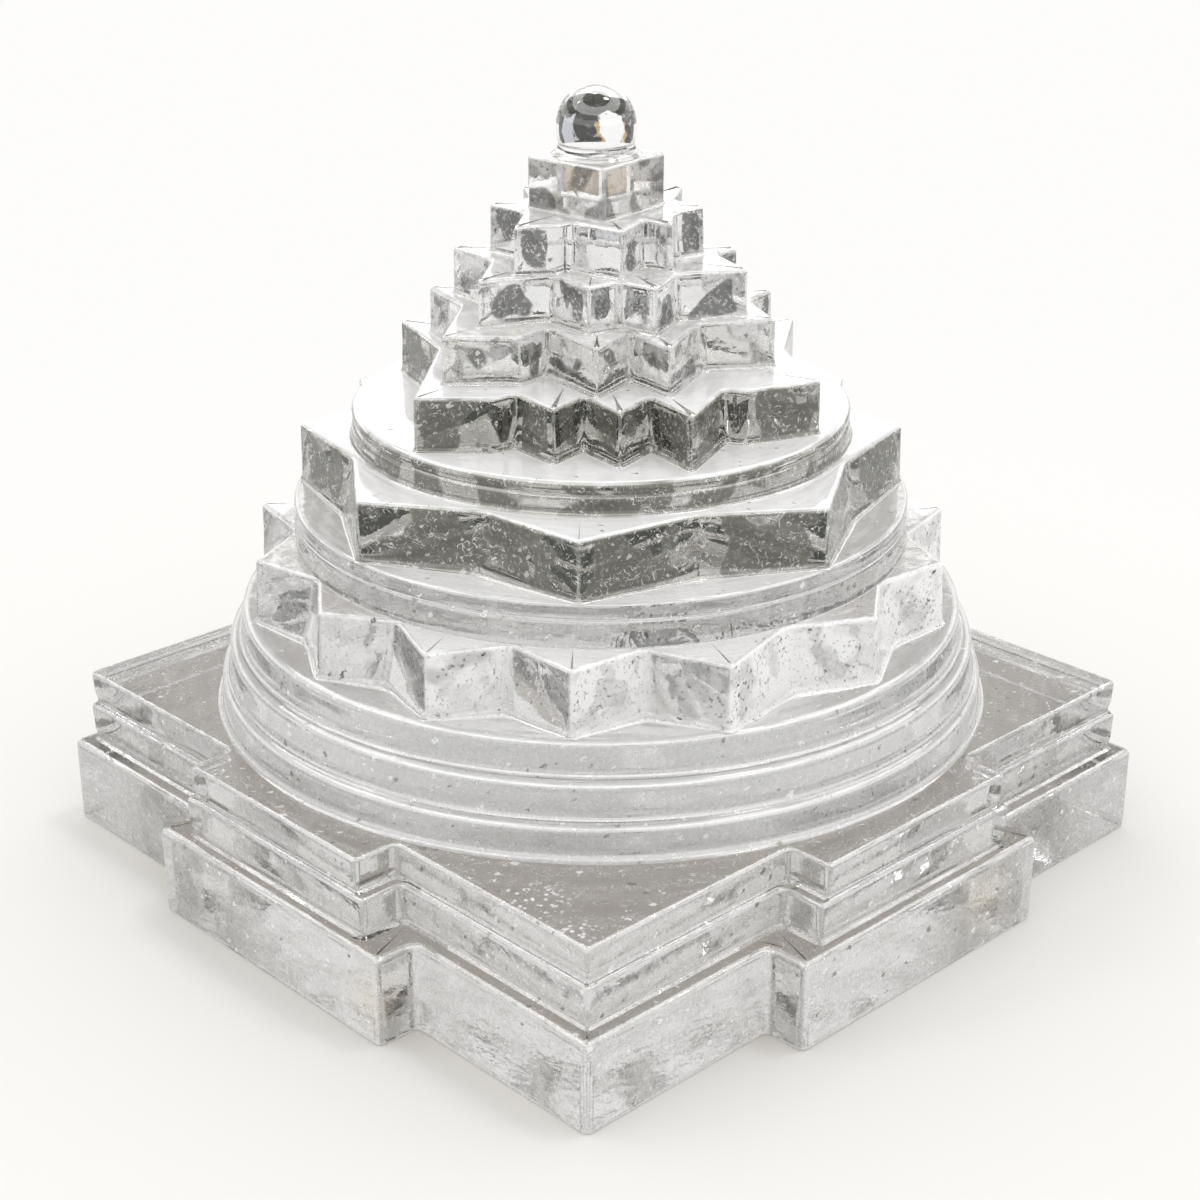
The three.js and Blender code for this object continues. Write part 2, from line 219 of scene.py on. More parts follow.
def hand_wobble(plan: np.ndarray, height: np.ndarray, amount: float) -> np.ndarray:
    """Unevenness of hand polishing: a (3 + three crossed sine waves) / 6.

    Args:
        plan: points in plan, shape (L, N, 2).
        height: height of each ring, shape (L,).
        amount: largest move a.

    Returns:
        Moves along the inward direction, from 0 to a, shape (L, N, 1).
    """
    x, y = plan[..., 0], plan[..., 1]
    z = height[:, None]
    waves = (
        np.sin(0.71 * x + 0.33 * y + 0.9 * z)
        + np.sin(-0.37 * x + 0.83 * y + 1.3 * z + 1.7)
        + np.sin(1.13 * x - 0.95 * y - 0.7 * z + 4.1)
    )
    return (amount * (3 + waves) / 6)[..., None]


def lip(top: float, size: float, steps: int = 7) -> np.ndarray:
    """Rounded top edge: a quarter circle, with a row on the flat at both ends.

    The painted highlight of the edge is sin(2 t) for the angle t on the quarter circle.

    Args:
        top: height of the terrace.
        size: radius of the edge.
        steps: rows on the quarter circle.

    Returns:
        Rows of (height, inset, painted highlight).
    """
    t = np.linspace(0.0, math.pi / 2, steps)
    height = top - size * (1 - np.sin(t))
    rows = np.column_stack([height, size * (1 - np.cos(t)), np.sin(2 * t)])
    rest = LIP_REST * size
    return np.vstack([[top - rest, 0.0, 0.0], rows, [top, rest, 0.0]])


def cove(foot: float, reach: float, height: float, steps: int = 6) -> np.ndarray:
    """Hollow fillet at a foot: a quarter ellipse that runs out on the terrace.

    The hollow gets a painted highlight like a top edge, by COVE_SHINE sin(2 t)
    for the angle t on the quarter ellipse.

    Args:
        foot: height of the terrace below.
        reach: how far the fillet runs out.
        height: how far it climbs.
        steps: rows on the quarter ellipse.

    Returns:
        Rows of (height, inset, painted highlight), with negative insets.
    """
    t = np.linspace(0.0, math.pi / 2, steps)
    climb = foot + height * (1 - np.cos(t))
    rows = np.column_stack([climb, -reach * (1 - np.sin(t)), COVE_SHINE * np.sin(2 * t)])
    return np.vstack([rows, [foot + COVE_REST * height, 0.0, 0.0]])


def plain(height: np.ndarray, inset: np.ndarray) -> np.ndarray:
    """Rows of (height, inset, painted highlight) without a highlight."""
    return np.column_stack([height, inset, np.zeros(len(height))])


class Sheet:
    """Node tree of a material or of the world, with short calls to add nodes."""

    def __init__(self, owner: bpy.types.ID) -> None:
        """Empties the node tree of its owner.

        Args:
            owner: the material or the world.
        """
        self.owner = owner
        owner.use_nodes = True
        self.tree = owner.node_tree
        self.tree.nodes.clear()

    @classmethod
    def of_material(cls, name: str) -> "Sheet":
        """Starts an empty material."""
        return cls(bpy.data.materials.new(name))

    def add(self, kind: str, links: Optional[dict] = None, **settings: object) -> bpy.types.Node:
        """Adds a node.

        Args:
            kind: Blender's name of the node type.
            links: socket name or number to a value or to an output socket.
            settings: properties of the node itself.

        Returns:
            The new node.
        """
        node = self.tree.nodes.new(kind)
        for key, value in settings.items():
            setattr(node, key, value)
        for key, value in (links or {}).items():
            if isinstance(value, bpy.types.NodeSocket):
                self.tree.links.new(value, node.inputs[key])
            else:
                node.inputs[key].default_value = value
        return node

    def math(
        self, operation: str, a: object, b: object = 0.0, c: object = 0.0, clamp: bool = False
    ) -> bpy.types.NodeSocket:
        """Output of a Math node.

        Args:
            operation: Blender's name of the operation.
            a: first value or socket.
            b: second value or socket.
            c: third value or socket.
            clamp: whether the output stays within 0 and 1.

        Returns:
            The output.
        """
        return self.add(
            "ShaderNodeMath", {0: a, 1: b, 2: c}, operation=operation, use_clamp=clamp
        ).outputs[0]

    def vector(
        self, operation: str, a: object, b: object = (0.0, 0.0, 0.0)
    ) -> bpy.types.NodeSocket:
        """Output of a Vector Math node.

        Args:
            operation: Blender's name of the operation.
            a: first vector or socket.
            b: second vector or socket.

        Returns:
            A value for lengths, distances and dot products, else a vector.
        """
        node = self.add("ShaderNodeVectorMath", {0: a, 1: b}, operation=operation)
        return node.outputs["Value" if operation in ("LENGTH", "DISTANCE", "DOT_PRODUCT") else 0]

    def times(self, *values: object) -> bpy.types.NodeSocket:
        """Product of some values."""
        return reduce(lambda first, second: self.math("MULTIPLY", first, second), values)

    def attribute(self, name: str) -> bpy.types.NodeSocket:
        """Level of an attribute of the mesh."""
        return self.add("ShaderNodeAttribute", attribute_name=name).outputs["Fac"]

    def height(self, vector: bpy.types.NodeSocket) -> bpy.types.NodeSocket:
        """Part of a vector along Z."""
        return self.add("ShaderNodeSeparateXYZ", {0: vector}).outputs["Z"]

    def ramp(self, value: bpy.types.NodeSocket, low: float, high: float) -> bpy.types.NodeSocket:
        """Smooth step from 0 at `low` to 1 at `high`, which may be the lower one.

        Args:
            value: value to follow.
            low: value at which the step is 0.
            high: value at which the step is 1.

        Returns:
            The step.
        """
        node = self.add(
            "ShaderNodeMapRange",
            {"Value": value, "From Min": low, "From Max": high},
            interpolation_type="SMOOTHSTEP",
        )
        return node.outputs["Result"]

    def place(self) -> bpy.types.NodeSocket:
        """Object coordinates in mm."""
        spot = self.add("ShaderNodeTexCoord").outputs["Object"]
        return self.vector("MULTIPLY", spot, (1 / METRE, 1 / METRE, 1 / METRE))

    def top(self, *values: bpy.types.NodeSocket) -> bpy.types.NodeSocket:
        """Largest of some values."""
        return reduce(lambda first, second: self.math("MAXIMUM", first, second), values)

    def noise(
        self, vector: bpy.types.NodeSocket, scale: float, detail: float, distortion: float = 0.0
    ) -> bpy.types.NodeSocket:
        """Value of a noise texture.

        Args:
            vector: place in mm.
            scale: waves per mm.
            detail: finer layers.
            distortion: how far the waves are bent.

        Returns:
            The noise, about 0.5.
        """
        return self.add(
            "ShaderNodeTexNoise",
            {"Vector": vector, "Scale": scale, "Detail": detail, "Distortion": distortion},
        ).outputs["Fac"]

    def mix(
        self, factor: object, first: object, second: object, blend: str = "MIX"
    ) -> bpy.types.NodeSocket:
        """Mixed colour of two colours.

        Args:
            factor: share of the second colour.
            first: first colour.
            second: second colour.
            blend: Blender's name of the way of mixing.

        Returns:
            The colour.
        """
        node = self.tree.nodes.new("ShaderNodeMix")
        node.data_type = "RGBA"
        node.blend_type = blend
        for index, value in ((0, factor), (6, first), (7, second)):
            if isinstance(value, bpy.types.NodeSocket):
                self.tree.links.new(value, node.inputs[index])
            else:
                node.inputs[index].default_value = value
        return node.outputs[2]

    def finish(self, surface: bpy.types.NodeSocket) -> bpy.types.ID:
        """Joins the surface to the output and returns the owner."""
        kind = "World" if isinstance(self.owner, bpy.types.World) else "Material"
        self.add(f"ShaderNodeOutput{kind}", {"Surface": surface})
        return self.owner


@dataclass(frozen=True)
class Stain:
    """Marked place in the crystal: its middle and its radius, in mm."""

    middle: Point
    radius: float


@dataclass(frozen=True)
class Stone:
    """Scales and levels that all finishes share.

    A scale is in waves or cells per mm. A pair holds the values at which a
    smooth step is 0 and 1.

    Attributes:
        looks_up: rise of the normal from sides to faces that look up.
        cloud_detail: finer layers of the slow noise.
        cloud_bend: how far it is bent.
        fine_scale: scale of the fine noise.
        fine_detail: finer layers of the fine noise.
        fine_bend: how far it is bent.
        drawn_detail: finer layers of the noise along rings.
        ring_share: length of a ring, and share of the radius, in that noise.
        milk_gaps: fine noise that breaks up the milk of sides.
        glint_gaps: drawn noise that breaks up the painted glints on terraces.
        painted_dark_detail: finer layers of the painted dark patches' noise.
        painted_dark_bend: how far it is bent.
        painted_dark_edge: half width of the edge of a painted dark patch, in noise levels.
        stain_gaps: fine noise that breaks up the stains.
        stain_depth: strength of the stains.
        speckle_gaps: fine noise that breaks up the white grain.
        scratch_noise: scale, detail and bend of the scratches' noise.
        scratch_width: distance from the middle of that noise.
        scratch_fine: fine noise that breaks up the scratches.
        scratch_drawn: drawn noise that gathers the scratches.
        highlight_power: how narrow the painted highlight along an edge is.
        highlight_gaps: drawn noise that breaks up the painted highlight.
        pebble_scale: scale of the pebbles.
        pebble_edge: distance from a pebble's middle.
        speck_scale: scale of the flecks and dots.
        speck_bend: how uneven their outlines are, in mm.
        speck_reach: largest radius of most, in cells.
        large_pick: random share of the cells with larger ones.
        large_reach: what is added to the radius there.
        speck_edge: width of their edges, in cells.
        fleck_pick: random share of the cells with flecks.
        dot_pick: random share of the cells with dots.
    """

    looks_up: Pair = (0.6, 0.95)
    cloud_detail: float = 3.0
    cloud_bend: float = 0.6
    fine_scale: float = 2.2
    fine_detail: float = 2.0
    fine_bend: float = 0.4
    drawn_detail: float = 2.0
    ring_share: Pair = (5.0, 0.8)
    milk_gaps: Pair = (0.24, 0.46)
    glint_gaps: Pair = (0.46, 0.66)
    painted_dark_detail: float = 1.0
    painted_dark_bend: float = 0.4
    painted_dark_edge: float = 0.035
    stain_gaps: Pair = (0.1, 0.7)
    stain_depth: float = 0.6
    speckle_gaps: Pair = (0.55, 0.66)
    scratch_noise: Point = (0.8, 1.0, 1.5)
    scratch_width: Pair = (0.03, 0.012)
    scratch_fine: Pair = (0.42, 0.52)
    scratch_drawn: Pair = (0.40, 0.54)
    highlight_power: float = 4.0
    highlight_gaps: Pair = (0.30, 0.52)
    pebble_scale: float = 1.4
    pebble_edge: Pair = (0.45, 0.2)
    speck_scale: float = 0.85
    speck_bend: float = 1.2
    speck_reach: float = 0.24
    large_pick: Pair = (0.8, 0.85)
    large_reach: float = 0.1
    speck_edge: Pair = (0.0, 0.03)
    fleck_pick: Pair = (0.52, 0.54)
    dot_pick: Pair = (0.24, 0.22)


STONE = Stone()


@dataclass(frozen=True)
class Fields:
    """Places and noises that the layers of a finish share.

    Attributes:
        spot: place in mm.
        up: 1 on faces that look up, 0 on sides.
        side: 1 on sides, 0 on faces that look up.
        cloud: slow noise.
        fine: fine noise.
        drawn: noise drawn out along rings round the axis.
    """

    spot: bpy.types.NodeSocket
    up: bpy.types.NodeSocket
    side: bpy.types.NodeSocket
    cloud: bpy.types.NodeSocket
    fine: bpy.types.NodeSocket
    drawn: bpy.types.NodeSocket


@dataclass(frozen=True)
class Crystal:
    """Polished rock crystal.

    Attributes:
        name: name of the material.
        tint: colour of the clear crystal.
        veil: colour of the milky crystal.
        haze: least share of a side that scatters light.
        milk: share that milky clouds add where they are thickest.
        cloud_scale: clouds per mm.
        cloud_level: level of the noise at which a cloud has half its milk.
        cloud_edge: half width of the edge of a cloud, in the noise's levels.
        painted_dark: share that painted dark reflections add to sides where thickest.
        painted_dark_scale: painted dark patches per mm.
        painted_dark_level: noise level at which a painted dark patch is half as thick.
        painted_dark_colour: colour of the painted dark reflections.
        window: how far that level rises in the middle of a facet.
        painted_side_light: painted side light, how far the milk of a side follows the
        way that it faces.
        terrace: share of a face that looks up that scatters light, a painted sheen
            that whitens the tops.
        painted_glints: strength of the painted glints, white streaks on faces that look up.
        speckle: strength of the fine white grain on sides.
        crinkle: strength of the fine curved white scratches.
        flecks: strength of the white flecks.
        dots: strength of the small dark dots.
        painted_highlight: strength of the painted highlight, a white line along edges.
        waves: height of the slow unevenness of the polish, in mm.
        marks: height of the polishing marks that run round the axis, in mm.
        grain: height of the finest unevenness, in mm.
        stains: tan stains.
        pebbles: places with small white pebbles just under the surface.
    """

    name: str
    tint: Colour = (0.965, 0.968, 0.972, 1.0)
    veil: Colour = (0.80, 0.80, 0.805, 1.0)
    haze: float = 0.0
    milk: float = 0.3
    cloud_scale: float = 0.28
    cloud_level: float = 0.52
    cloud_edge: float = 0.08
    painted_dark: float = 0.0
    painted_dark_scale: float = 0.22
    painted_dark_level: float = 0.39
    painted_dark_colour: Colour = (0.03, 0.032, 0.024, 1.0)
    window: float = 0.0
    painted_side_light: float = 0.0
    terrace: float = 0.3
    painted_glints: float = 0.5
    speckle: float = 0.35
    crinkle: float = 0.4
    flecks: float = 0.8
    dots: float = 0.8
    painted_highlight: float = 0.85
    waves: float = 0.05
    marks: float = 0.01
    grain: float = 0.004
    stains: tuple[Stain, ...] = ()
    pebbles: tuple[Stain, ...] = ()

    def material(self) -> bpy.types.Material:
        """Refracting crystal with clouds, flecks, dots and scratches, and with painted
        light: dark reflections, side light, sheen and glints on tops, edge highlights.

        All of these are seen from outside alone: light inside the crystal meets
        a clear surface.

        Returns:
            The material.
        """
        sheet = Sheet.of_material(self.name)
        at = self.fields(sheet)
        within = sheet.add("ShaderNodeNewGeometry").outputs["Backfacing"]
        milk_and_painted_sheen = self.milk_and_painted_sheen(sheet, at)
        # painted dark reflections: near-black patches on sides, thickest in facet middles
        painted_dark = self.painted_dark_reflections(sheet, at)
        stain = sheet.times(
            self.near(sheet, at.spot, self.stains),
            sheet.ramp(at.fine, *STONE.stain_gaps),
            STONE.stain_depth,
        )
        fleck, dot = self.specks(sheet, at)
        # white marks, and among them the painted highlights along edges
        white = sheet.top(
            sheet.times(sheet.ramp(at.fine, *STONE.speckle_gaps), at.side, self.speckle),
            self.scratches(sheet, at),
            fleck,
            self.painted_edge_highlights(sheet, at),
            self.small_stones(sheet, at),
        )

        covered = sheet.top(milk_and_painted_sheen, painted_dark, stain, white, dot)
        clear = sheet.top(sheet.math("SUBTRACT", 1.0, covered), within)
        colour = sheet.mix(milk_and_painted_sheen, self.tint, self.veil)
        layers = (
            (painted_dark, self.painted_dark_colour),
            (stain, TAN_STAIN),
            (white, WHITE_MARK_AND_HIGHLIGHT),
            (dot, BROWN_DOT),
            (within, self.tint),
        )
        for cover, paint in layers:
            colour = sheet.mix(cover, colour, paint)
        body = sheet.add(
            "ShaderNodeBsdfPrincipled",
            {
                "Base Color": colour,
                "Roughness": POLISHED,
                "IOR": QUARTZ_IOR,
                "Transmission Weight": clear,
                "Normal": self.relief(sheet, at),
            },
        ).outputs[0]
        return sheet.finish(self.light_through(sheet, body))

    def fields(self, sheet: Sheet) -> Fields:
        """Adds the places and noises that the layers share.

        Args:
            sheet: the material's nodes.

        Returns:
            The places and noises.
        """
        spot = sheet.place()
        rise = sheet.height(sheet.add("ShaderNodeNewGeometry").outputs["True Normal"])
        up = sheet.ramp(rise, *STONE.looks_up)
        return Fields(
            spot=spot,
            up=up,
            side=sheet.math("SUBTRACT", 1.0, up),
            cloud=sheet.noise(spot, self.cloud_scale, STONE.cloud_detail, STONE.cloud_bend),
            fine=sheet.noise(spot, STONE.fine_scale, STONE.fine_detail, STONE.fine_bend),
            drawn=sheet.noise(self.ring_coordinates(sheet, spot), 1.0, STONE.drawn_detail),
        )

    def milk_and_painted_sheen(self, sheet: Sheet, at: Fields) -> bpy.types.NodeSocket:
        """Share that scatters light: milky clouds on sides, thickened by painted side
        light, and on terraces a painted sheen with painted glints.

        Args:
            sheet: the material's nodes.
            at: the shared places and noises.

        Returns:
            The share.
        """
        low, high = self.cloud_level - self.cloud_edge, self.cloud_level + self.cloud_edge
        milk = sheet.math("MULTIPLY_ADD", sheet.ramp(at.cloud, low, high), self.milk, self.haze)
        # painted side light: sides that face one bearing get more milk and read lighter
        painted_side_light = sheet.attribute("painted_side_light")
        painted_side_light = sheet.math("MULTIPLY_ADD", painted_side_light, 2 * self.painted_side_light, 1 - self.painted_side_light)
        milk = sheet.math("MULTIPLY", milk, painted_side_light, clamp=True)
        on_side = sheet.times(milk, sheet.ramp(at.fine, *STONE.milk_gaps))
        # painted glints and painted sheen: faces that look up are whitened
        glint = sheet.ramp(at.drawn, *STONE.glint_gaps)
        on_top = sheet.math("MULTIPLY_ADD", glint, self.painted_glints, self.terrace)
        return sheet.add("ShaderNodeMix", {0: at.up, 2: on_side, 3: on_top}).outputs[0]

    def painted_dark_reflections(self, sheet: Sheet, at: Fields) -> bpy.types.NodeSocket:
        """Cover of the painted dark reflections, which gather in the middle of facets.

        Args:
            sheet: the material's nodes.
            at: the shared places and noises.

        Returns:
            The cover.
        """
        # painted dark reflections of the surroundings, gathered in the middle of facets
        patch = sheet.noise(at.spot, self.painted_dark_scale, STONE.painted_dark_detail, STONE.painted_dark_bend)
        patch = sheet.math("MULTIPLY_ADD", sheet.attribute("window"), -self.window, patch)
        low, high = self.painted_dark_level - STONE.painted_dark_edge, self.painted_dark_level + STONE.painted_dark_edge
        thick = sheet.ramp(patch, high, low)
        return sheet.times(thick, at.side, self.painted_dark)

    def scratches(self, sheet: Sheet, at: Fields) -> bpy.types.NodeSocket:
        """Cover of the fine curved scratches, which follow the middle of a noise.

        Args:
            sheet: the material's nodes.
            at: the shared places and noises.

        Returns:
            The cover.
        """
        vein = sheet.math("SUBTRACT", sheet.noise(at.spot, *STONE.scratch_noise), 0.5)
        line = sheet.ramp(sheet.math("ABSOLUTE", vein), *STONE.scratch_width)
        broken = sheet.times(
            sheet.ramp(at.fine, *STONE.scratch_fine), sheet.ramp(at.drawn, *STONE.scratch_drawn)
        )
        return sheet.times(line, broken, self.crinkle)

    def painted_edge_highlights(self, sheet: Sheet, at: Fields) -> bpy.types.NodeSocket:
        """Cover of the painted highlights, white lines along edges, broken here and there."""
        # painted highlight: a white line along top edges, hollows and upright ridges
        worn = sheet.math("POWER", sheet.attribute("painted_highlight"), STONE.highlight_power)
        return sheet.times(worn, self.painted_highlight, sheet.ramp(at.drawn, *STONE.highlight_gaps))

    def small_stones(self, sheet: Sheet, at: Fields) -> bpy.types.NodeSocket:
        """Cover of the white pebbles in their marked places."""
        cells = {"Vector": at.spot, "Scale": STONE.pebble_scale}
        stones = sheet.add("ShaderNodeTexVoronoi", cells).outputs["Distance"]
        stones = sheet.ramp(stones, *STONE.pebble_edge)
        return sheet.times(self.near(sheet, at.spot, self.pebbles), stones)

    def relief(self, sheet: Sheet, at: Fields) -> bpy.types.NodeSocket:
        """Normal of the uneven polish: slow waves, marks round the axis and pits.

        Args:
            sheet: the material's nodes.
            at: the shared places and noises.

        Returns:
            The normal.
        """
        waves = sheet.times(at.cloud, self.waves * METRE)
        marked = sheet.math("MULTIPLY_ADD", at.drawn, self.marks * METRE, waves)
        height = sheet.math("MULTIPLY_ADD", at.fine, self.grain * METRE, marked)
        bump = sheet.add("ShaderNodeBump", {"Height": height, "Strength": 1.0, "Distance": 1.0})
        return bump.outputs[0]

    def light_through(self, sheet: Sheet, body: bpy.types.NodeSocket) -> bpy.types.NodeSocket:
        """Lets light through to matt surfaces a little dimmed, without bending it.

        Args:
            sheet: the material's nodes.
            body: shader that every other ray meets.

        Returns:
            The shader.
        """
        path = sheet.add("ShaderNodeLightPath").outputs
        dimmed = sheet.mix(path["Is Diffuse Ray"], SHADOW_TINT, BOUNCE_TINT)
        shade = sheet.add("ShaderNodeBsdfTransparent", {"Color": dimmed}).outputs[0]
        through = sheet.top(path["Is Shadow Ray"], path["Is Diffuse Ray"])
        return sheet.add("ShaderNodeMixShader", {0: through, 1: body, 2: shade}).outputs[0]

    def specks(
        self, sheet: Sheet, at: Fields
    ) -> tuple[bpy.types.NodeSocket, bpy.types.NodeSocket]:
        """White flecks and dark dots at random points, each in some cells alone.

        Args:
            sheet: the material's nodes.
            at: the shared places and noises.

        Returns:
            Cover of the flecks and cover of the dots.
        """
        uneven = sheet.vector("ADD", at.spot, sheet.times(at.fine, STONE.speck_bend))
        cells = {"Vector": uneven, "Scale": STONE.speck_scale}
        cells = sheet.add("ShaderNodeTexVoronoi", cells)
        pick = sheet.add("ShaderNodeSeparateXYZ", {0: cells.outputs["Color"]}).outputs
        large = sheet.times(sheet.ramp(pick["Z"], *STONE.large_pick), STONE.large_reach)
        reach = sheet.math("MULTIPLY_ADD", pick["Y"], STONE.speck_reach, large)
        depth = sheet.math("SUBTRACT", reach, cells.outputs["Distance"])
        inside = sheet.ramp(depth, *STONE.speck_edge)
        fleck = sheet.times(inside, sheet.ramp(pick["X"], *STONE.fleck_pick), self.flecks)
        dot = sheet.times(inside, sheet.ramp(pick["X"], *STONE.dot_pick), self.dots)
        return fleck, dot

    def near(
        self, sheet: Sheet, spot: bpy.types.NodeSocket, places: tuple[Stain, ...]
    ) -> bpy.types.NodeSocket:
        """How near a point is to marked places, 1 at a middle and 0 at a radius.

        Args:
            sheet: the material's nodes.
            spot: place in mm.
            places: the marked places.

        Returns:
            The nearness, 0 without marked places.
        """
        nearest = sheet.add("ShaderNodeValue").outputs[0]
        for place in places:
            away = sheet.vector("DISTANCE", spot, place.middle)
            nearest = sheet.top(nearest, sheet.ramp(away, place.radius, 0.0))
        return nearest

    def ring_coordinates(self, sheet: Sheet, spot: bpy.types.NodeSocket) -> bpy.types.NodeSocket:
        """Coordinates that run along rings round the axis.

        A point at angle a, radius r and height z goes to
        (l cos a, l sin a, s r + z) for the length l and the share s of
        STONE.ring_share, so that a noise in them is drawn out along the rings.

        Args:
            sheet: the material's nodes.
            spot: place in mm.

        Returns:
            The coordinates.
        """
        length, share = STONE.ring_share
        flat = sheet.vector("MULTIPLY", spot, (1.0, 1.0, 0.0))
        along = sheet.vector("MULTIPLY", sheet.vector("NORMALIZE", flat), (length,) * 3)
        radius = sheet.vector("LENGTH", flat)
        across = sheet.math("MULTIPLY_ADD", radius, share, sheet.height(spot))
        lift = sheet.add("ShaderNodeCombineXYZ", {"Z": across}).outputs[0]
        return sheet.vector("ADD", along, lift)


@dataclass(frozen=True)
class Seat:
    """Face where two tiers are one crystal: light passes it unbent."""

    name: str = "seat"

    def material(self) -> bpy.types.Material:
        """Fully transparent surface."""
        sheet = Sheet.of_material(self.name)
        clear = sheet.add("ShaderNodeBsdfTransparent", {"Color": (1.0, 1.0, 1.0, 1.0)})
        return sheet.finish(clear.outputs[0])


@dataclass
class Tier:
    """One tier of the carving as a stack of closed rings.

    Attributes:
        node: CAD node that the tier stands for.
        polish: finish of the surface.
        heights: height of each ring, from the foot up, shape (L,).
        rings: plan of each ring, anticlockwise, shape (L, N, 2).
        painted_highlight: painted highlight of the edge at each point, shape (L, N).
        painted_side_light: how far each point faces the bearing of the painted side
        light, shape (L, N).
        window: how near each point is to the middle of a facet, shape (L, N).
        pole: height of the point that closes the top, for the ball alone.
    """

    node: str
    polish: Polish
    heights: np.ndarray
    rings: np.ndarray
    painted_highlight: np.ndarray
    painted_side_light: np.ndarray
    window: np.ndarray
    pole: Optional[float] = None

    @classmethod
    def from_profile(
        cls,
        node: str,
        polish: Polish,
        outline: np.ndarray,
        profile: np.ndarray,
        wobble: float,
        pole: Optional[float] = None,
        window: float | np.ndarray = 0.0,
    ) -> "Tier":
        """Carries a profile round an outline.

        Ring k is the outline moved inwards by the profile's inset k, plus the
        unevenness of the polish, at the profile's height k.

        Args:
            node: CAD node that the tier stands for.
            polish: finish of the surface.
            outline: one outline (N, 2), or one for each row (L, N, 2).
            profile: rows of (height, inset, painted highlight), shape (L, 3).
            wobble: unevenness of the polish.
            pole: height of the point that closes the top.
            window: nearness to the middle of a facet, shape (L, N) or one value.

        Returns:
            The tier.
        """
        rows = len(profile)
        base = np.broadcast_to(outline, (rows, *outline.shape[-2:]))
        height, inset, edge = profile.T
        move = inset[:, None, None] + hand_wobble(base, height, wobble)
        # painted highlight along top edges, hollows and upright ridges
        painted_highlight = np.maximum(edge[:, None], RIDGE_HIGHLIGHT * ridge(base))
        home = inward(base)
        middle = np.broadcast_to(window, painted_highlight.shape)
        return cls(node, polish, height, base + home * move, painted_highlight, facing_painted_light(home), middle, pole)

    @property
    def foot(self) -> np.ndarray:
        """Plan of the lowest ring, shape (N, 2)."""
        return self.rings[0]

    def build(
        self, above: Optional["Tier"], dress: bpy.types.Material, seat: bpy.types.Material
    ) -> bpy.types.Object:
        """Makes the closed mesh of the tier.

        The side is the grid of rings. The terrace joins the last ring to the
        foot of the tier above, and the two seats are fans about the axis.

        Args:
            above: the tier that stands on this one.
            dress: material of the polished surface.
            seat: material of the faces where tiers meet.

        Returns:
            The object, linked to the scene.
        """
        levels, count = self.rings.shape[:2]
        plan = self.rings.reshape(-1, 2)
        side = np.column_stack([plan, np.repeat(self.heights, count)])
        top = self.heights[-1] if self.pole is None else self.pole
        inner = self.rings[-1] if above is None else above.foot
        centre = inner.mean(axis=0)
        opening = np.column_stack([inner, np.full(len(inner), self.heights[-1])])
        points = [side, [[*centre, self.heights[0]]], [[*centre, top]]]
        if above is not None:
            points.append(opening)
        low, high, first = levels * count, levels * count + 1, levels * count + 2

        row = np.arange(levels - 1)[:, None] * count
        here = np.arange(count)
        then = (here + 1) % count
        wall = np.stack([row + here, row + then, row + count + then, row + count + here], axis=-1)
        wall = wall.reshape(-1, 4)
        under = np.column_stack([np.full(count, low), then, here])
        if above is None:
            last = (levels - 1) * count
            cap = np.column_stack([np.full(count, high), last + here, last + then])
            ledge = np.empty((0, 3), int)
        else:
            inside = first + np.arange(len(inner))
            cap = np.column_stack([np.full(len(inner), high), inside, np.roll(inside, -1)])
            ledge = stitched(self.rings[-1], (levels - 1) * count, inner, first)
        faces = [*wall.tolist(), *ledge.tolist(), *cap.tolist(), *under.tolist()]
        is_seat = np.zeros(len(faces), int)
        if above is not None:
            is_seat[len(wall) + len(ledge) : len(wall) + len(ledge) + len(cap)] = 1
        if self.heights[0] > 0:
            is_seat[-len(under) :] = 1

        mesh = bpy.data.meshes.new(self.node)
        mesh.from_pydata((np.vstack(points) * METRE).tolist(), [], faces)
        mesh.materials.append(dress)
        mesh.materials.append(seat)
        mesh.polygons.foreach_set("material_index", is_seat)
        mesh.polygons.foreach_set("use_smooth", np.ones(len(faces), bool))
        mesh.set_sharp_from_angle(angle=math.radians(SHARP_ANGLE))
        levels_of = {"painted_highlight": self.painted_highlight, "painted_side_light": self.painted_side_light, "window": self.window}
        for name, values in levels_of.items():
            level = np.zeros(len(mesh.vertices), np.float32)
            level[: values.size] = values.ravel()
            mesh.attributes.new(name, "FLOAT", "POINT").data.foreach_set("value", level)
        mesh.update()
        piece = bpy.data.objects.new(f"{self.node}.crystal", mesh)
        bpy.context.scene.collection.objects.link(piece)
        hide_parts(self.node)
        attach(piece, "root")
        return piece


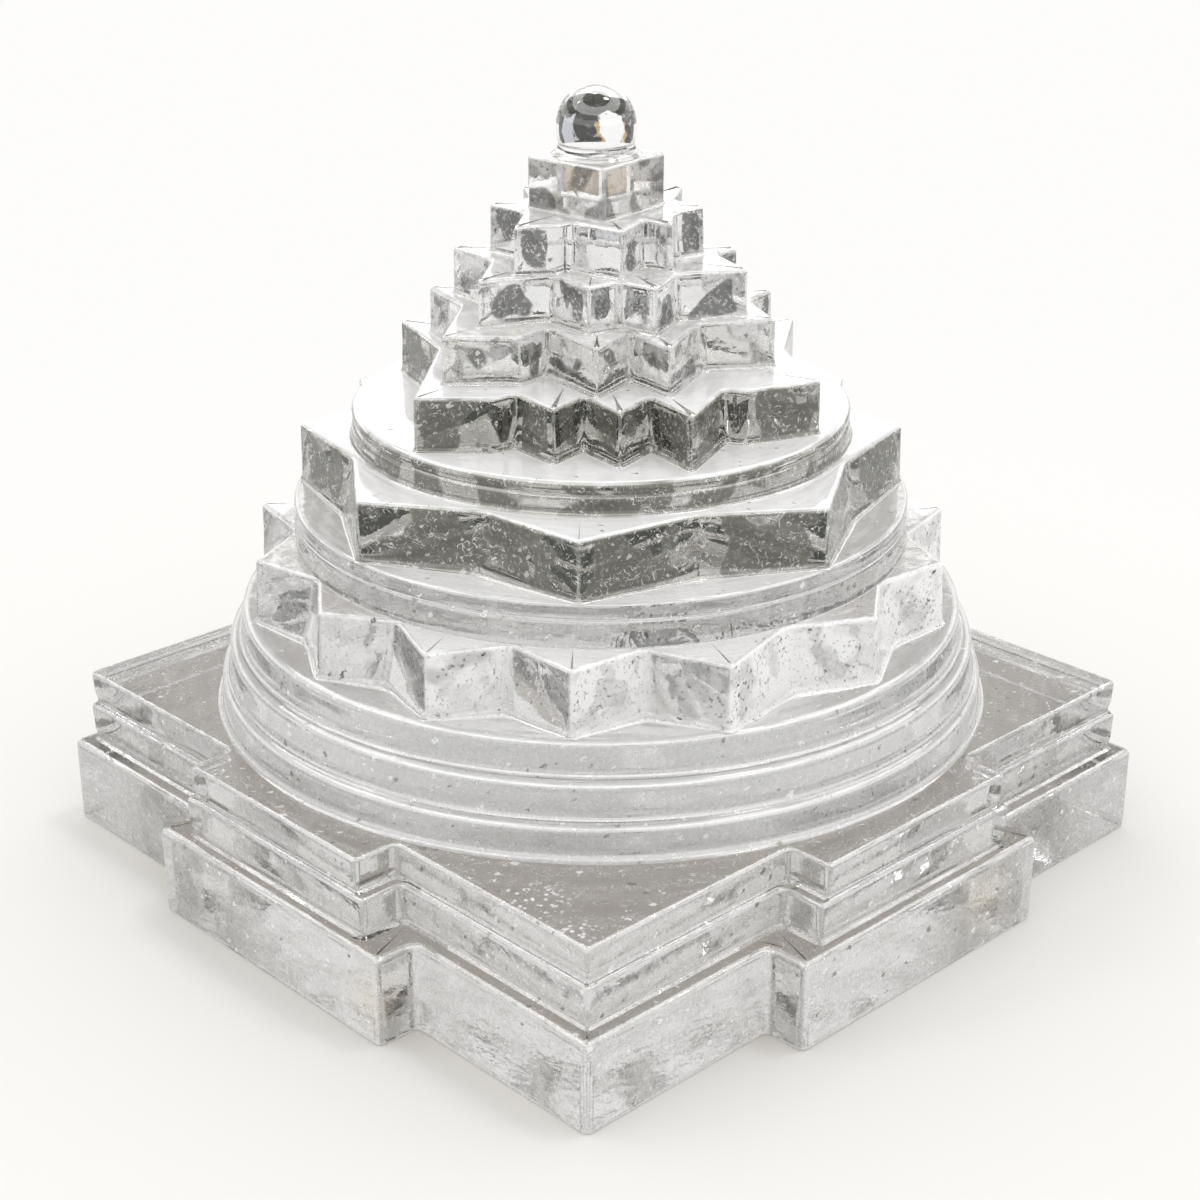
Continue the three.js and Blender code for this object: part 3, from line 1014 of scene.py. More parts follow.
def stitched(
    outer: np.ndarray, outer_first: int, inner: np.ndarray, inner_first: int
) -> np.ndarray:
    """Triangles of the flat ring between two closed rings about the axis.

    The points of both rings are sorted by angle. Each point in turn makes one
    triangle with the point before it on its own ring and the last point that
    was passed on the other ring.

    Args:
        outer: plan of the outer ring, anticlockwise.
        outer_first: number of its first point in the mesh.
        inner: plan of the inner ring, anticlockwise.
        inner_first: number of its first point in the mesh.

    Returns:
        Triangles that face up, shape (outer + inner, 3).
    """
    angles = [np.arctan2(ring[:, 1], ring[:, 0]) for ring in (outer, inner)]
    starts = [int(np.argmin(angle)) for angle in angles]
    sizes = [len(outer), len(inner)]
    turned = [np.roll(angle, -start) for angle, start in zip(angles, starts)]
    order = np.argsort(np.concatenate(turned), kind="stable")
    from_outer = order < sizes[0]
    passed_outer = np.cumsum(from_outer) - 1
    passed_inner = np.cumsum(~from_outer) - 1
    ids = [
        outer_first + (passed_outer + starts[0]) % sizes[0],
        inner_first + (passed_inner + starts[1]) % sizes[1],
    ]
    before = [
        outer_first + (passed_outer - 1 + starts[0]) % sizes[0],
        inner_first + (passed_inner - 1 + starts[1]) % sizes[1],
    ]
    outward = np.column_stack([before[0], ids[0], ids[1]])
    homeward = np.column_stack([before[1], ids[0], ids[1]])
    return np.where(from_outer[:, None], outward, homeward)


@dataclass
class GatedBase:
    """Square base of three tiers, with a gate in the middle of every side."""

    nodes: tuple[str, ...] = ("bhupura_lower_tier", "bhupura_middle_tier", "bhupura_upper_tier")
    half_sides: tuple[float, ...] = (45.0, 43.3, 43.05)
    gate_halves: tuple[float, ...] = (19.4, 15.6, 14.5)
    gate_faces: tuple[float, ...] = (50.0, 48.6, 48.45)
    lips: tuple[float, ...] = (0.8, 0.45, 0.45)
    eases: tuple[float, ...] = (1.1, 0.8, 0.8)
    foot_chamfer: float = 0.45
    undercut: float = 0.35
    undercut_height: float = 1.5
    wobble: float = 0.05
    curve: int = 7
    flat: int = 12

    def corners(self, half: float, gate_half: float, face: float) -> np.ndarray:
        """Corners of a square with a gate on each side.

        Args:
            half: distance from the axis to a side.
            gate_half: half the width of a gate.
            face: distance from the axis to the face of a gate.

        Returns:
            The corners, anticlockwise, shape (20, 2).
        """
        across = np.array([-half, -gate_half, -gate_half, gate_half, gate_half])
        out = np.array([half, half, face, face, half])
        side = np.column_stack([out, across])
        turns = np.arange(4) * math.pi / 2
        spin = np.array([[np.cos(turns), -np.sin(turns)], [np.sin(turns), np.cos(turns)]])
        return np.einsum("abk,nb->kna", spin, side).reshape(-1, 2)

    def tiers(self) -> list[Tier]:
        """The three gated tiers, from the bottom up.

        The lowest stands on a small chamfer. The side of the others is hollow
        at the foot, by u (sin(pi sqrt(t)) + 0.4 t) for the undercut u at the
        share t of its height.

        Returns:
            The tiers.
        """
        made = []
        for index, node in enumerate(self.nodes):
            low, high = (corner[2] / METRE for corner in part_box(node))
            corners = self.corners(
                self.half_sides[index], self.gate_halves[index], self.gate_faces[index]
            )
            ease = np.full(len(corners), self.eases[index])
            outline = eased(corners, ease, self.curve, self.flat)
            if index == 0:
                share = np.array([0.0, 0.0, 0.2, 1.0, 1.6])
                foot = plain(low + self.foot_chamfer * share, self.foot_chamfer * share[::-1])
            else:
                z = np.linspace(0.0, 1.0, 8)
                hollow = self.undercut * np.sin(np.pi * np.sqrt(z)) + 0.4 * self.undercut * z
                foot = plain(low + self.undercut_height * z, hollow)
            profile = np.vstack([foot, lip(high, self.lips[index])])
            made.append(Tier.from_profile(node, Polish.CLOUDY, outline, profile, self.wobble))
        return made


@dataclass
class RoundSteps:
    """Three circular steps between the base and the petals."""

    nodes: tuple[str, ...] = ("circle_step_lower", "circle_step_middle", "circle_step_upper")
    radii: tuple[float, ...] = (44.15, 43.0, 41.35)
    lip_size: float = 0.85
    cove_reach: float = 0.7
    cove_height: float = 1.2
    count: int = 480
    wobble: float = 0.03

    def tiers(self) -> list[Tier]:
        """The three steps, from the bottom up.

        Returns:
            The tiers.
        """
        made = []
        for node, radius in zip(self.nodes, self.radii):
            low, high = (corner[2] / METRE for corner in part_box(node))
            profile = np.vstack(
                [cove(low, self.cove_reach, self.cove_height), lip(high, self.lip_size)]
            )
            outline = circle(radius, self.count)
            made.append(Tier.from_profile(node, Polish.TURNED, outline, profile, self.wobble))
        return made


@dataclass
class PointedTier:
    """Tier whose outline has points and valleys, such as petals or triangles.

    Attributes:
        node: CAD node that the tier stands for.
        reach: distance from the axis to the longest point.
        corners: rows of (angle from the front corner, share of the reach).
        valley_fill: how far the valleys fill up at the foot.
        polish: finish of the surface.
        tip_ease: rounding of the points.
        valley_ease: rounding of the valleys.
        lip_size: radius of the top edge.
        cove_reach: how far the fillet at the foot runs out.
        cove_height: how far it climbs.
        wall_rows: rows between the fillet and the top edge.
        wobble: unevenness of the polish.
        curve: points on each rounded corner.
        flat: points on each side between two corners.
    """

    node: str
    reach: float
    corners: np.ndarray
    valley_fill: float
    polish: Polish = Polish.MOTTLED
    tip_ease: float = 0.45
    valley_ease: float = 1.0
    lip_size: float = 0.48
    cove_reach: float = 0.35
    cove_height: float = 0.9
    wall_rows: int = 6
    wobble: float = 0.05
    curve: int = 7
    flat: int = 9

    def tier(self) -> Tier:
        """Carries the profile round the outline, whose valleys fill at the foot.

        The radius of a corner at height share h is r + f (1 - h)^1.5 (R - r)
        for its radius r at the top, the reach R and the fill f. A point is near
        the middle of a facet by the root of the smaller of sin(pi h) and
        sin(pi s), for its share s of the way along the facet.

        Returns:
            The tier.
        """
        low, high = (corner[2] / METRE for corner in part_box(self.node))
        over_cove, under_lip = low + 1.4 * self.cove_height, high - 1.8 * self.lip_size
        middle = np.linspace(over_cove, under_lip, self.wall_rows)
        profile = np.vstack(
            [
                cove(low, self.cove_reach, self.cove_height),
                plain(middle, np.zeros(len(middle))),
                lip(high, self.lip_size),
            ]
        )
        angle, share = self.corners.T
        radius = share * self.reach
        climb = (profile[:, 0] - low) / (high - low)
        fade = (1 - climb)[:, None] ** 1.5
        radii = radius + self.valley_fill * fade * (self.reach - radius)
        points = polar(np.broadcast_to(angle, radii.shape), radii)
        previous, following = np.roll(radius, 1), np.roll(radius, -1)
        is_tip = radius > (previous + following) / 2
        ease = np.where(is_tip, self.tip_ease, self.valley_ease)
        outline = eased(points, ease, self.curve, self.flat)
        across = np.sin(np.pi * np.linspace(0.0, 1.0, self.flat))
        across = np.tile(np.append(np.zeros(self.curve), across), len(angle))
        upward = np.sin(np.pi * climb)
        window = np.sqrt(np.clip(np.minimum.outer(upward, across), 0.0, 1.0))
        return Tier.from_profile(
            self.node, self.polish, outline, profile, self.wobble, window=window
        )


@dataclass
class Lotus:
    """Ring of petals and the round step or steps above it.

    Attributes:
        node: CAD node of the petals.
        reach: distance from the axis to the longest petal.
        tips: rows of (angle from the front corner, share of the reach).
        valley_share: radius of the valleys as a share of the reach.
        valley_fill: how far the valleys fill up at the foot.
        polish: finish of the petals.
    """

    node: str
    reach: float
    tips: tuple[Pair, ...]
    valley_share: float
    valley_fill: float
    polish: Polish

    def petals(self) -> Tier:
        """The ring of petals, with a valley half way between each two tips.

        Returns:
            The tier.
        """
        angle, share = np.array(self.tips).T
        following = np.append(angle[1:], angle[0] + 360)
        corners = np.empty((2 * len(angle), 2))
        corners[0::2] = np.column_stack([angle, share])
        corners[1::2, 0] = (angle + following) / 2
        corners[1::2, 1] = self.valley_share
        return PointedTier(self.node, self.reach, corners, self.valley_fill, self.polish).tier()


@dataclass
class LotusOfSixteen:
    """Sixteen petals and the double disc above them."""

    reach: float = 41.15
    valley_share: float = 0.852
    valley_fill: float = 0.27
    disc_nodes: tuple[str, ...] = ("lotus_disc_lower", "lotus_disc_upper")
    disc_radii: tuple[float, ...] = (34.96, 34.86)
    disc_lip: float = 0.45
    disc_cove: Pair = (0.1, 0.8)
    disc_count: int = 420
    disc_wobble: float = 0.03
    tips: tuple[Pair, ...] = (
        (-98, 0.985), (-72.5, 0.971), (-47.5, 0.961), (-25, 0.983),
        (-3, 0.983), (19.8, 1.0), (48, 0.964), (73.8, 0.966),
        (98.5, 0.983), (119.5, 0.976), (140, 0.98), (160.5, 0.974),
        (181, 0.983), (201.5, 0.976), (222, 0.98), (242.5, 0.974),
    )

    def tiers(self) -> list[Tier]:
        """The petals and both halves of the disc, from the bottom up.

        Returns:
            The tiers.
        """
        shape = (self.reach, self.tips, self.valley_share, self.valley_fill)
        petals = Lotus("sixteen_petal_lotus", *shape, Polish.VEINED)
        made = [petals.petals()]
        for node, radius in zip(self.disc_nodes, self.disc_radii):
            low, high = (corner[2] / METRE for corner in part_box(node))
            profile = np.vstack([cove(low, *self.disc_cove), lip(high, self.disc_lip)])
            outline = circle(radius, self.disc_count)
            made.append(Tier.from_profile(node, Polish.RINGED, outline, profile, self.disc_wobble))
        return made


@dataclass
class LotusOfEight:
    """Eight petals and the grooved plinth above them."""

    reach: float = 34.81
    valley_share: float = 0.832
    valley_fill: float = 0.22
    plinth_radius: float = 28.0
    plinth_cove: Pair = (0.7, 0.9)
    plinth_lip: float = 0.6
    plinth_window: float = 0.5
    plinth_count: int = 360
    plinth_wobble: float = 0.03
    groove_depth: float = 0.35
    groove_width: float = 0.25
    groove_rise: float = 0.45
    groove_rows: int = 13
    tips: tuple[Pair, ...] = (
        (-121.5, 0.998), (-91.5, 0.988), (-46, 1.0), (-2.5, 1.0),
        (44, 1.0), (92.5, 0.984), (124, 1.0), (181, 0.994),
    )

    def tiers(self) -> list[Tier]:
        """The petals and the plinth, from the bottom up.

        The side of the plinth sinks by d exp(-((z - m) / w)^2) round its groove
        at height m, for the groove's depth d and width w.

        Returns:
            The tiers.
        """
        shape = (self.reach, self.tips, self.valley_share, self.valley_fill)
        petals = Lotus("eight_petal_lotus", *shape, Polish.DEEP)
        low, high = (corner[2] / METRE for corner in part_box("triangle_plinth"))
        middle = (low + high) / 2 + self.groove_rise
        z = np.linspace(low + 1.2, high - 0.7, self.groove_rows)
        groove = self.groove_depth * np.exp(-(((z - middle) / self.groove_width) ** 2))
        top_edge = lip(high, self.plinth_lip)
        profile = np.vstack([cove(low, *self.plinth_cove), plain(z, groove), top_edge])
        plinth = Tier.from_profile(
            "triangle_plinth",
            Polish.DEEP,
            circle(self.plinth_radius, self.plinth_count),
            profile,
            self.plinth_wobble,
            window=self.plinth_window,
        )
        return [petals.petals(), plinth]


@dataclass
class StarMountain:
    """Four tiers of triangle points, each set in from the one below."""

    nodes: tuple[str, ...] = (
        "star_tier_lowest", "star_tier_second", "star_tier_third", "star_tier_top",
    )
    reaches: tuple[float, ...] = (27.3, 22.6, 17.7, 13.6)
    polishes: tuple[Polish, ...] = (Polish.DEEP, Polish.MOTTLED, Polish.MOTTLED, Polish.MOTTLED)
    valley_fill: float = 0.05
    valley_ease: float = 0.8
    corners: tuple[tuple[Pair, ...], ...] = (
        (
            (-112, 0.923), (-86, 0.665), (-45, 0.996), (-29, 0.798), (-26.5, 0.707),
            (-11, 0.84), (-4.5, 0.663), (6, 0.86), (17, 0.692), (22, 0.967),
            (41, 0.744), (44, 0.815), (62.5, 0.982), (88, 0.751), (116.5, 0.905),
            (131, 0.725), (142, 0.927), (152, 0.69), (161, 0.86), (170, 0.68),
            (180, 0.9), (190, 0.675), (199, 0.85), (209, 0.69), (219, 0.938), (232, 0.718),
        ),
        (
            (-103, 0.885), (-80, 0.69), (-47.5, 0.991), (-29, 0.757), (-25.4, 0.56),
            (0, 0.835), (14, 0.589), (22.5, 0.876), (49, 0.628), (68, 0.907),
            (90, 0.73), (101, 0.863), (120, 0.642), (140, 0.894), (160, 0.602),
            (181, 0.85), (201, 0.597), (221, 0.898), (240, 0.655),
        ),
        (
            (-97.4, 0.944), (-76, 0.69), (-46.8, 0.989), (-27.9, 0.6), (-4, 0.798),
            (11.2, 0.674), (22.8, 0.882), (43.9, 0.67), (67.5, 0.978), (90, 0.72),
            (99.5, 0.865), (118, 0.618), (139, 0.888), (160, 0.596), (181, 0.843),
            (202, 0.596), (222, 0.893), (243, 0.629),
        ),
        (
            (-91.8, 0.905), (-70, 0.65), (-42, 0.993), (-25.5, 0.737), (-20.2, 0.61),
            (12, 0.861), (36, 0.569), (43.2, 0.839), (68, 0.635), (88, 0.832),
            (110, 0.628), (135.6, 0.949), (158, 0.599), (180, 0.861), (202, 0.599),
            (226, 0.92), (247, 0.642),
        ),
    )

    def tiers(self) -> list[Tier]:
        """The four tiers, from the bottom up.

        Returns:
            The tiers.
        """
        made = []
        for node, reach, table, polish in zip(
            self.nodes, self.reaches, self.corners, self.polishes
        ):
            star = PointedTier(node, reach, np.array(table), self.valley_fill, polish)
            star.valley_ease = self.valley_ease
            made.append(star.tier())
        return made


@dataclass
class Finial:
    """Square block, coved collar and ball, which lean a little off the axis."""

    shift: float = 0.5
    block_side: float = 10.8
    block_turn: float = 7.0
    block_ease: float = 0.7
    block_lip: float = 0.4
    block_cove: Pair = (0.25, 0.6)
    block_curve: int = 7
    block_flat: int = 14
    block_wobble: float = 0.03
    ball_radius: float = 4.38
    ball_stretch: float = 5.4
    ball_centre_above_block: float = 3.1
    collar_flare: float = 0.85
    collar_rows: int = 8
    rows_below_middle: int = 8
    rows_above_middle: int = 22
    steepest: float = 87.0
    count: int = 96

    def lean(self, tier: Tier) -> Tier:
        """Moves a tier sideways by the shift of the finial."""
        tier.rings = tier.rings - self.shift / math.sqrt(2)
        return tier

    def ball_radius_at(self, height: np.ndarray) -> np.ndarray:
        """Radius at a height from the ball's centre: r sqrt(1 - (h / s)^2)."""
        half = np.where(height < 0, self.ball_stretch, self.ball_radius)
        return self.ball_radius * np.sqrt(np.clip(1 - (height / half) ** 2, 0, 1))

    def tiers(self) -> list[Tier]:
        """The block, the collar and the ball, from the bottom up.

        The collar flares by f ((1 - t)^2.2 - 0.1 sin(pi t)) at the share t of
        its height.

        Returns:
            The tiers.
        """
        low, high = (corner[2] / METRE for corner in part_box("square_cap_block"))
        diagonal = self.block_side / math.sqrt(2)
        corners = polar(np.arange(4) * 90 + self.block_turn, np.full(4, diagonal))
        outline = eased(
            corners, np.full(4, self.block_ease), self.block_curve, self.block_flat
        )
        profile = np.vstack([cove(low, *self.block_cove), lip(high, self.block_lip)])
        block = Tier.from_profile(
            "square_cap_block", Polish.BLOCK, outline, profile, self.block_wobble
        )

        low, high = (corner[2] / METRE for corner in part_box("bindu_collar"))
        centre = low + self.ball_centre_above_block
        neck = float(self.ball_radius_at(np.array(high - centre)))
        t = np.linspace(0.0, 1.0, self.collar_rows)
        flare = self.collar_flare * ((1 - t) ** 2.2 - 0.1 * np.sin(np.pi * t))
        profile = plain(low + (high - low) * t, -flare)
        collar = Tier.from_profile(
            "bindu_collar", Polish.LENS, circle(neck, self.count), profile, 0.0
        )

        below = np.linspace(high - centre, -0.2, self.rows_below_middle)
        rise = np.radians(np.linspace(0.0, self.steepest, self.rows_above_middle))
        height = np.concatenate([below, self.ball_radius * np.sin(rise)])
        profile = plain(centre + height, self.ball_radius - self.ball_radius_at(height))
        ball = Tier.from_profile(
            "bindu_ball",
            Polish.LENS,
            circle(self.ball_radius, self.count),
            profile,
            0.0,
            centre + self.ball_radius,
        )
        return [self.lean(tier) for tier in (block, collar, ball)]


@dataclass(frozen=True)
class Lamp:
    """Round soft lamp that looks at the middle of the object.

    Attributes:
        name: name of the lamp.
        spot: its place, in m.
        size: its width, in m.
        watts: its power.
        target: point that it looks at, in m.
    """

    name: str
    spot: Point
    size: float
    watts: float
    target: Point = (0.0, 0.0, 0.04)

    def build(self) -> None:
        """Makes the lamp."""
        light = bpy.data.lights.new(self.name, "AREA")
        light.shape = "DISK"
        light.size = self.size
        light.energy = self.watts
        lamp = bpy.data.objects.new(self.name, light)
        lamp.location = self.spot
        lamp.rotation_mode = "QUATERNION"
        away = Vector(self.spot) - Vector(self.target)
        lamp.rotation_quaternion = away.to_track_quat("Z", "Y")
        bpy.context.scene.collection.objects.link(lamp)


def stage_plane(name: str, corners: np.ndarray, dress: bpy.types.Material) -> bpy.types.Object:
    """Makes one four-sided face of the stage.

    Args:
        name: name of the object and its mesh.
        corners: its corners in m, shape (4, 3).
        dress: its material.

    Returns:
        The object, linked to the scene.
    """
    mesh = bpy.data.meshes.new(name)
    mesh.from_pydata(corners.tolist(), [], [(0, 1, 2, 3)])
    mesh.materials.append(dress)
    piece = bpy.data.objects.new(name, mesh)
    bpy.context.scene.collection.objects.link(piece)
    return piece


@dataclass
class BallCard:
    """Card behind the ball, which shows it upside down as dark and bright fields.

    From left to right, as the camera looks: dark, a white field with a gold
    rim, a dark field, a grey pane and dark again. Only light that has passed
    through the crystal meets the card, and what has crossed a seat as well
    sees it white. Each field is a row of four places along the card, in mm: it
    comes up between the first two and fades between the last two.

    Attributes:
        azimuth: the camera's azimuth.
        white: colour of the white field.
        distance: distance of the card from the axis, in m.
        low: height of its lower edge, in m.
        high: height of its upper edge, in m.
        half_width: half of its width, in m.
        dark: colour between the fields.
        gold: colour of the rim.
        grey: colour of the pane.
        rim: places of the rim.
        field: places of the white field.
        pane: places of the grey pane.
        rim_rise: heights between which the rim comes up, in mm.
        field_rise: the same for the white field, above the lower edge.
        pane_rise: the same for the pane, above the lower edge.
        sway: how far the fields' edges bend, in mm, along and up.
    """

    azimuth: float
    white: Colour
    distance: float = 0.15
    low: float = 0.008
    high: float = 0.125
    half_width: float = 0.25
    dark: Colour = (0.03, 0.03, 0.026, 1.0)
    gold: Colour = (0.52, 0.39, 0.21, 1.0)
    grey: Colour = (0.55, 0.56, 0.6, 1.0)
    rim: Places = (-112.0, -106.0, 0.0, 6.0)
    field: Places = (-100.0, -94.0, -16.0, -10.0)
    pane: Places = (62.0, 68.0, 150.0, 160.0)
    rim_rise: Pair = (36.0, 46.0)
    field_rise: Pair = (8.0, 14.0)
    pane_rise: Pair = (2.0, 8.0)
    sway: Pair = (90.0, 70.0)

    def dress(self) -> bpy.types.Material:
        """Shining fields of the card.

        Returns:
            The material.
        """
        sheet = Sheet.of_material("screen_fields")
        a, foot = math.radians(self.azimuth), self.low / METRE
        spot = sheet.place()
        rough = sheet.math("SUBTRACT", sheet.noise(spot, 0.03, 4.0, 0.5), 0.5)
        along = sheet.vector("DOT_PRODUCT", spot, (math.cos(a), math.sin(a), 0.0))
        along = sheet.math("MULTIPLY_ADD", rough, self.sway[0], along)
        height = sheet.math("MULTIPLY_ADD", rough, self.sway[1], sheet.height(spot))
        layers = (
            (self.rim, self.rim_rise, 0.0, self.gold),
            (self.field, self.field_rise, foot, self.white),
            (self.pane, self.pane_rise, foot, self.grey),
        )
        shown = self.dark
        for (start, full, waning, end), (low, high), base, paint in layers:
            across = sheet.times(sheet.ramp(along, start, full), sheet.ramp(along, end, waning))
            cover = sheet.times(across, sheet.ramp(height, base + low, base + high))
            shown = sheet.mix(cover, shown, paint)
        seats = sheet.add("ShaderNodeLightPath").outputs["Transparent Depth"]
        shown = sheet.mix(sheet.ramp(seats, 0.25, 0.75), shown, self.white)
        return sheet.finish(sheet.add("ShaderNodeEmission", {"Color": shown}).outputs[0])

    def build(self) -> None:
        """Stands the card behind the object, square to the camera's azimuth."""
        a = math.radians(self.azimuth)
        back = np.array([-math.sin(a), math.cos(a), 0.0]) * self.distance
        right = np.array([math.cos(a), math.sin(a), 0.0]) * self.half_width
        corners = np.array([back - right, back + right, back + right, back - right])
        corners[:, 2] = [self.low, self.low, self.high, self.high]
        card = stage_plane("screen", corners, self.dress())
        card.visible_camera = False
        card.visible_diffuse = False
        card.visible_glossy = False
        card.visible_shadow = False


@dataclass
class Studio:
    """Pale floor, soft lamps and the white surroundings.

    Attributes:
        white: colour of the surroundings.
        paper: colour of the floor.
        painted_contact_shade: painted shade under the rim of the base, as the
        crystal shows it.
        table: colour of the table that the crystal bends into view.
        painted_contact_shade_edge: distances from the axis, in m, between which
        the painted contact shade takes over from white.
        table_edge: the same for the table.
        table_end: the same for the white beyond the table.
        fade: the same for the floor's fade to white.
        ambient: level of the light that the surroundings throw on matt surfaces.
        mirrored: rows of (sine of the elevation, change of level from there up)
            of the surroundings that the crystal mirrors.
        bent: the same for the surroundings that it bends into view.
        band_edge: width of each of these steps, in sines.
        floor_half: half the width of the floor, in m.
        floor_height: the floor lies this far under the object, in m, so that
            light leaves the crystal before it meets the floor.
        lamps: the soft lamps.
    """

    white: Colour = (0.985, 0.978, 0.963, 1.0)
    paper: Colour = (0.965, 0.959, 0.945, 1.0)
    painted_contact_shade: Colour = (0.46, 0.425, 0.39, 1.0)
    table: Colour = (0.035, 0.037, 0.028, 1.0)
    painted_contact_shade_edge: Pair = (0.022, 0.029)
    table_edge: Pair = (0.052, 0.062)
    table_end: Pair = (0.5, 0.55)
    fade: Pair = (0.05, 0.22)
    ambient: float = 0.88
    mirrored: tuple[Pair, ...] = (
        (0.10, 1.6), (0.365, -1.6), (0.58, 4.5), (0.86, -4.5),
    )
    bent: tuple[Pair, ...] = (
        (0.10, -0.2), (0.30, -0.25), (0.42, 0.4), (0.50, -0.5), (0.60, 0.6), (0.80, -0.4),
    )
    band_edge: float = 0.025
    floor_half: float = 3.0
    floor_height: float = -0.00005
    lamps: tuple[Lamp, ...] = (
        Lamp("lamp_left", (-1.12, -0.82, 1.8), 0.32, 2.4),
        Lamp("lamp_back", (0.4, 0.65, 2.05), 0.42, 7.4),
    )

    def floor(self) -> None:
        """Wide pale floor that keeps the object's shadow and fades to white."""
        sheet = Sheet.of_material("floor_paper")
        away = sheet.vector("LENGTH", sheet.add("ShaderNodeTexCoord").outputs["Object"])
        # painted shade: through the crystal, the floor under the base's rim shows darker
        bands = sheet.mix(sheet.ramp(away, *self.painted_contact_shade_edge), self.white, self.painted_contact_shade)
        bands = sheet.mix(sheet.ramp(away, *self.table_edge), bands, self.table)
        bands = sheet.mix(sheet.ramp(away, *self.table_end), bands, self.white)
        path = sheet.add("ShaderNodeLightPath").outputs
        seen = sheet.top(path["Is Camera Ray"], path["Is Glossy Ray"])
        matte = sheet.add("ShaderNodeBsdfDiffuse", {"Color": self.paper}).outputs[0]
        white = sheet.add("ShaderNodeEmission", {"Color": self.white}).outputs[0]
        fade = sheet.times(sheet.ramp(away, *self.fade), seen)
        paper = sheet.add("ShaderNodeMixShader", {0: fade, 1: matte, 2: white}).outputs[0]
        shown = sheet.add("ShaderNodeEmission", {"Color": bands}).outputs[0]
        bent = path["Is Transmission Ray"]
        surface = sheet.add("ShaderNodeMixShader", {0: bent, 1: paper, 2: shown}).outputs[0]
        corners = np.array([[-1, -1], [1, -1], [1, 1], [-1, 1]], float) * self.floor_half
        corners = np.column_stack([corners, np.full(4, self.floor_height)])
        stage_plane("floor", corners, sheet.finish(surface))

    def world(self) -> None:
        """White surroundings, with bands of light and shade for the crystal.

        Matt surfaces get one plain level. What the crystal mirrors or bends into
        view depends on the sine of the elevation.
        """
        world = bpy.data.worlds.new("surroundings")
        bpy.context.scene.world = world
        sheet = Sheet(world)
        rise = sheet.height(sheet.add("ShaderNodeTexCoord").outputs["Generated"])
        path = sheet.add("ShaderNodeLightPath").outputs
        level = sheet.add("ShaderNodeValue").outputs[0]
        level.default_value = 1.0
        bent = path["Is Transmission Ray"]
        mirrored = sheet.math("SUBTRACT", path["Is Glossy Ray"], bent, clamp=True)
        for ray, steps in ((mirrored, self.mirrored), (bent, self.bent)):
            for sine, change in steps:
                step = sheet.times(sheet.ramp(rise, sine, sine + self.band_edge), ray)
                level = sheet.math("MULTIPLY_ADD", step, change, level)
        level = sheet.math("MULTIPLY_ADD", path["Is Diffuse Ray"], self.ambient - 1.0, level)
        back = sheet.add("ShaderNodeBackground", {"Color": self.white, "Strength": level})
        sheet.finish(back.outputs[0])

    def build(self) -> None:
        """Sets up floor, surroundings, card and lamps."""
        self.floor()
        self.world()
        BallCard(Viewpoint.azimuth, self.white).build()
        for lamp in self.lamps:
            lamp.build()


@dataclass
class Viewpoint:
    """Camera at the photograph's place and angle."""

    azimuth: float = 46.23
    pitch: float = 23.30
    place: Point = (0.178598, -0.171233, 0.135705)
    lens: float = 69.16

    def build(self) -> None:
        """Makes the camera and hands it to the scene."""
        a, e = math.radians(self.azimuth), math.radians(self.pitch)
        back = Vector((math.sin(a) * math.cos(e), -math.cos(a) * math.cos(e), math.sin(e)))
        data = bpy.data.cameras.new("camera")
        data.sensor_width = 36.0
        data.lens = self.lens
        data.clip_start = 0.01
        data.clip_end = 20.0
        camera = bpy.data.objects.new("camera", data)
        camera.location = self.place
        camera.rotation_mode = "QUATERNION"
        camera.rotation_quaternion = (-back).to_track_quat("-Z", "Y")
        bpy.context.scene.collection.objects.link(camera)
        bpy.context.scene.camera = camera


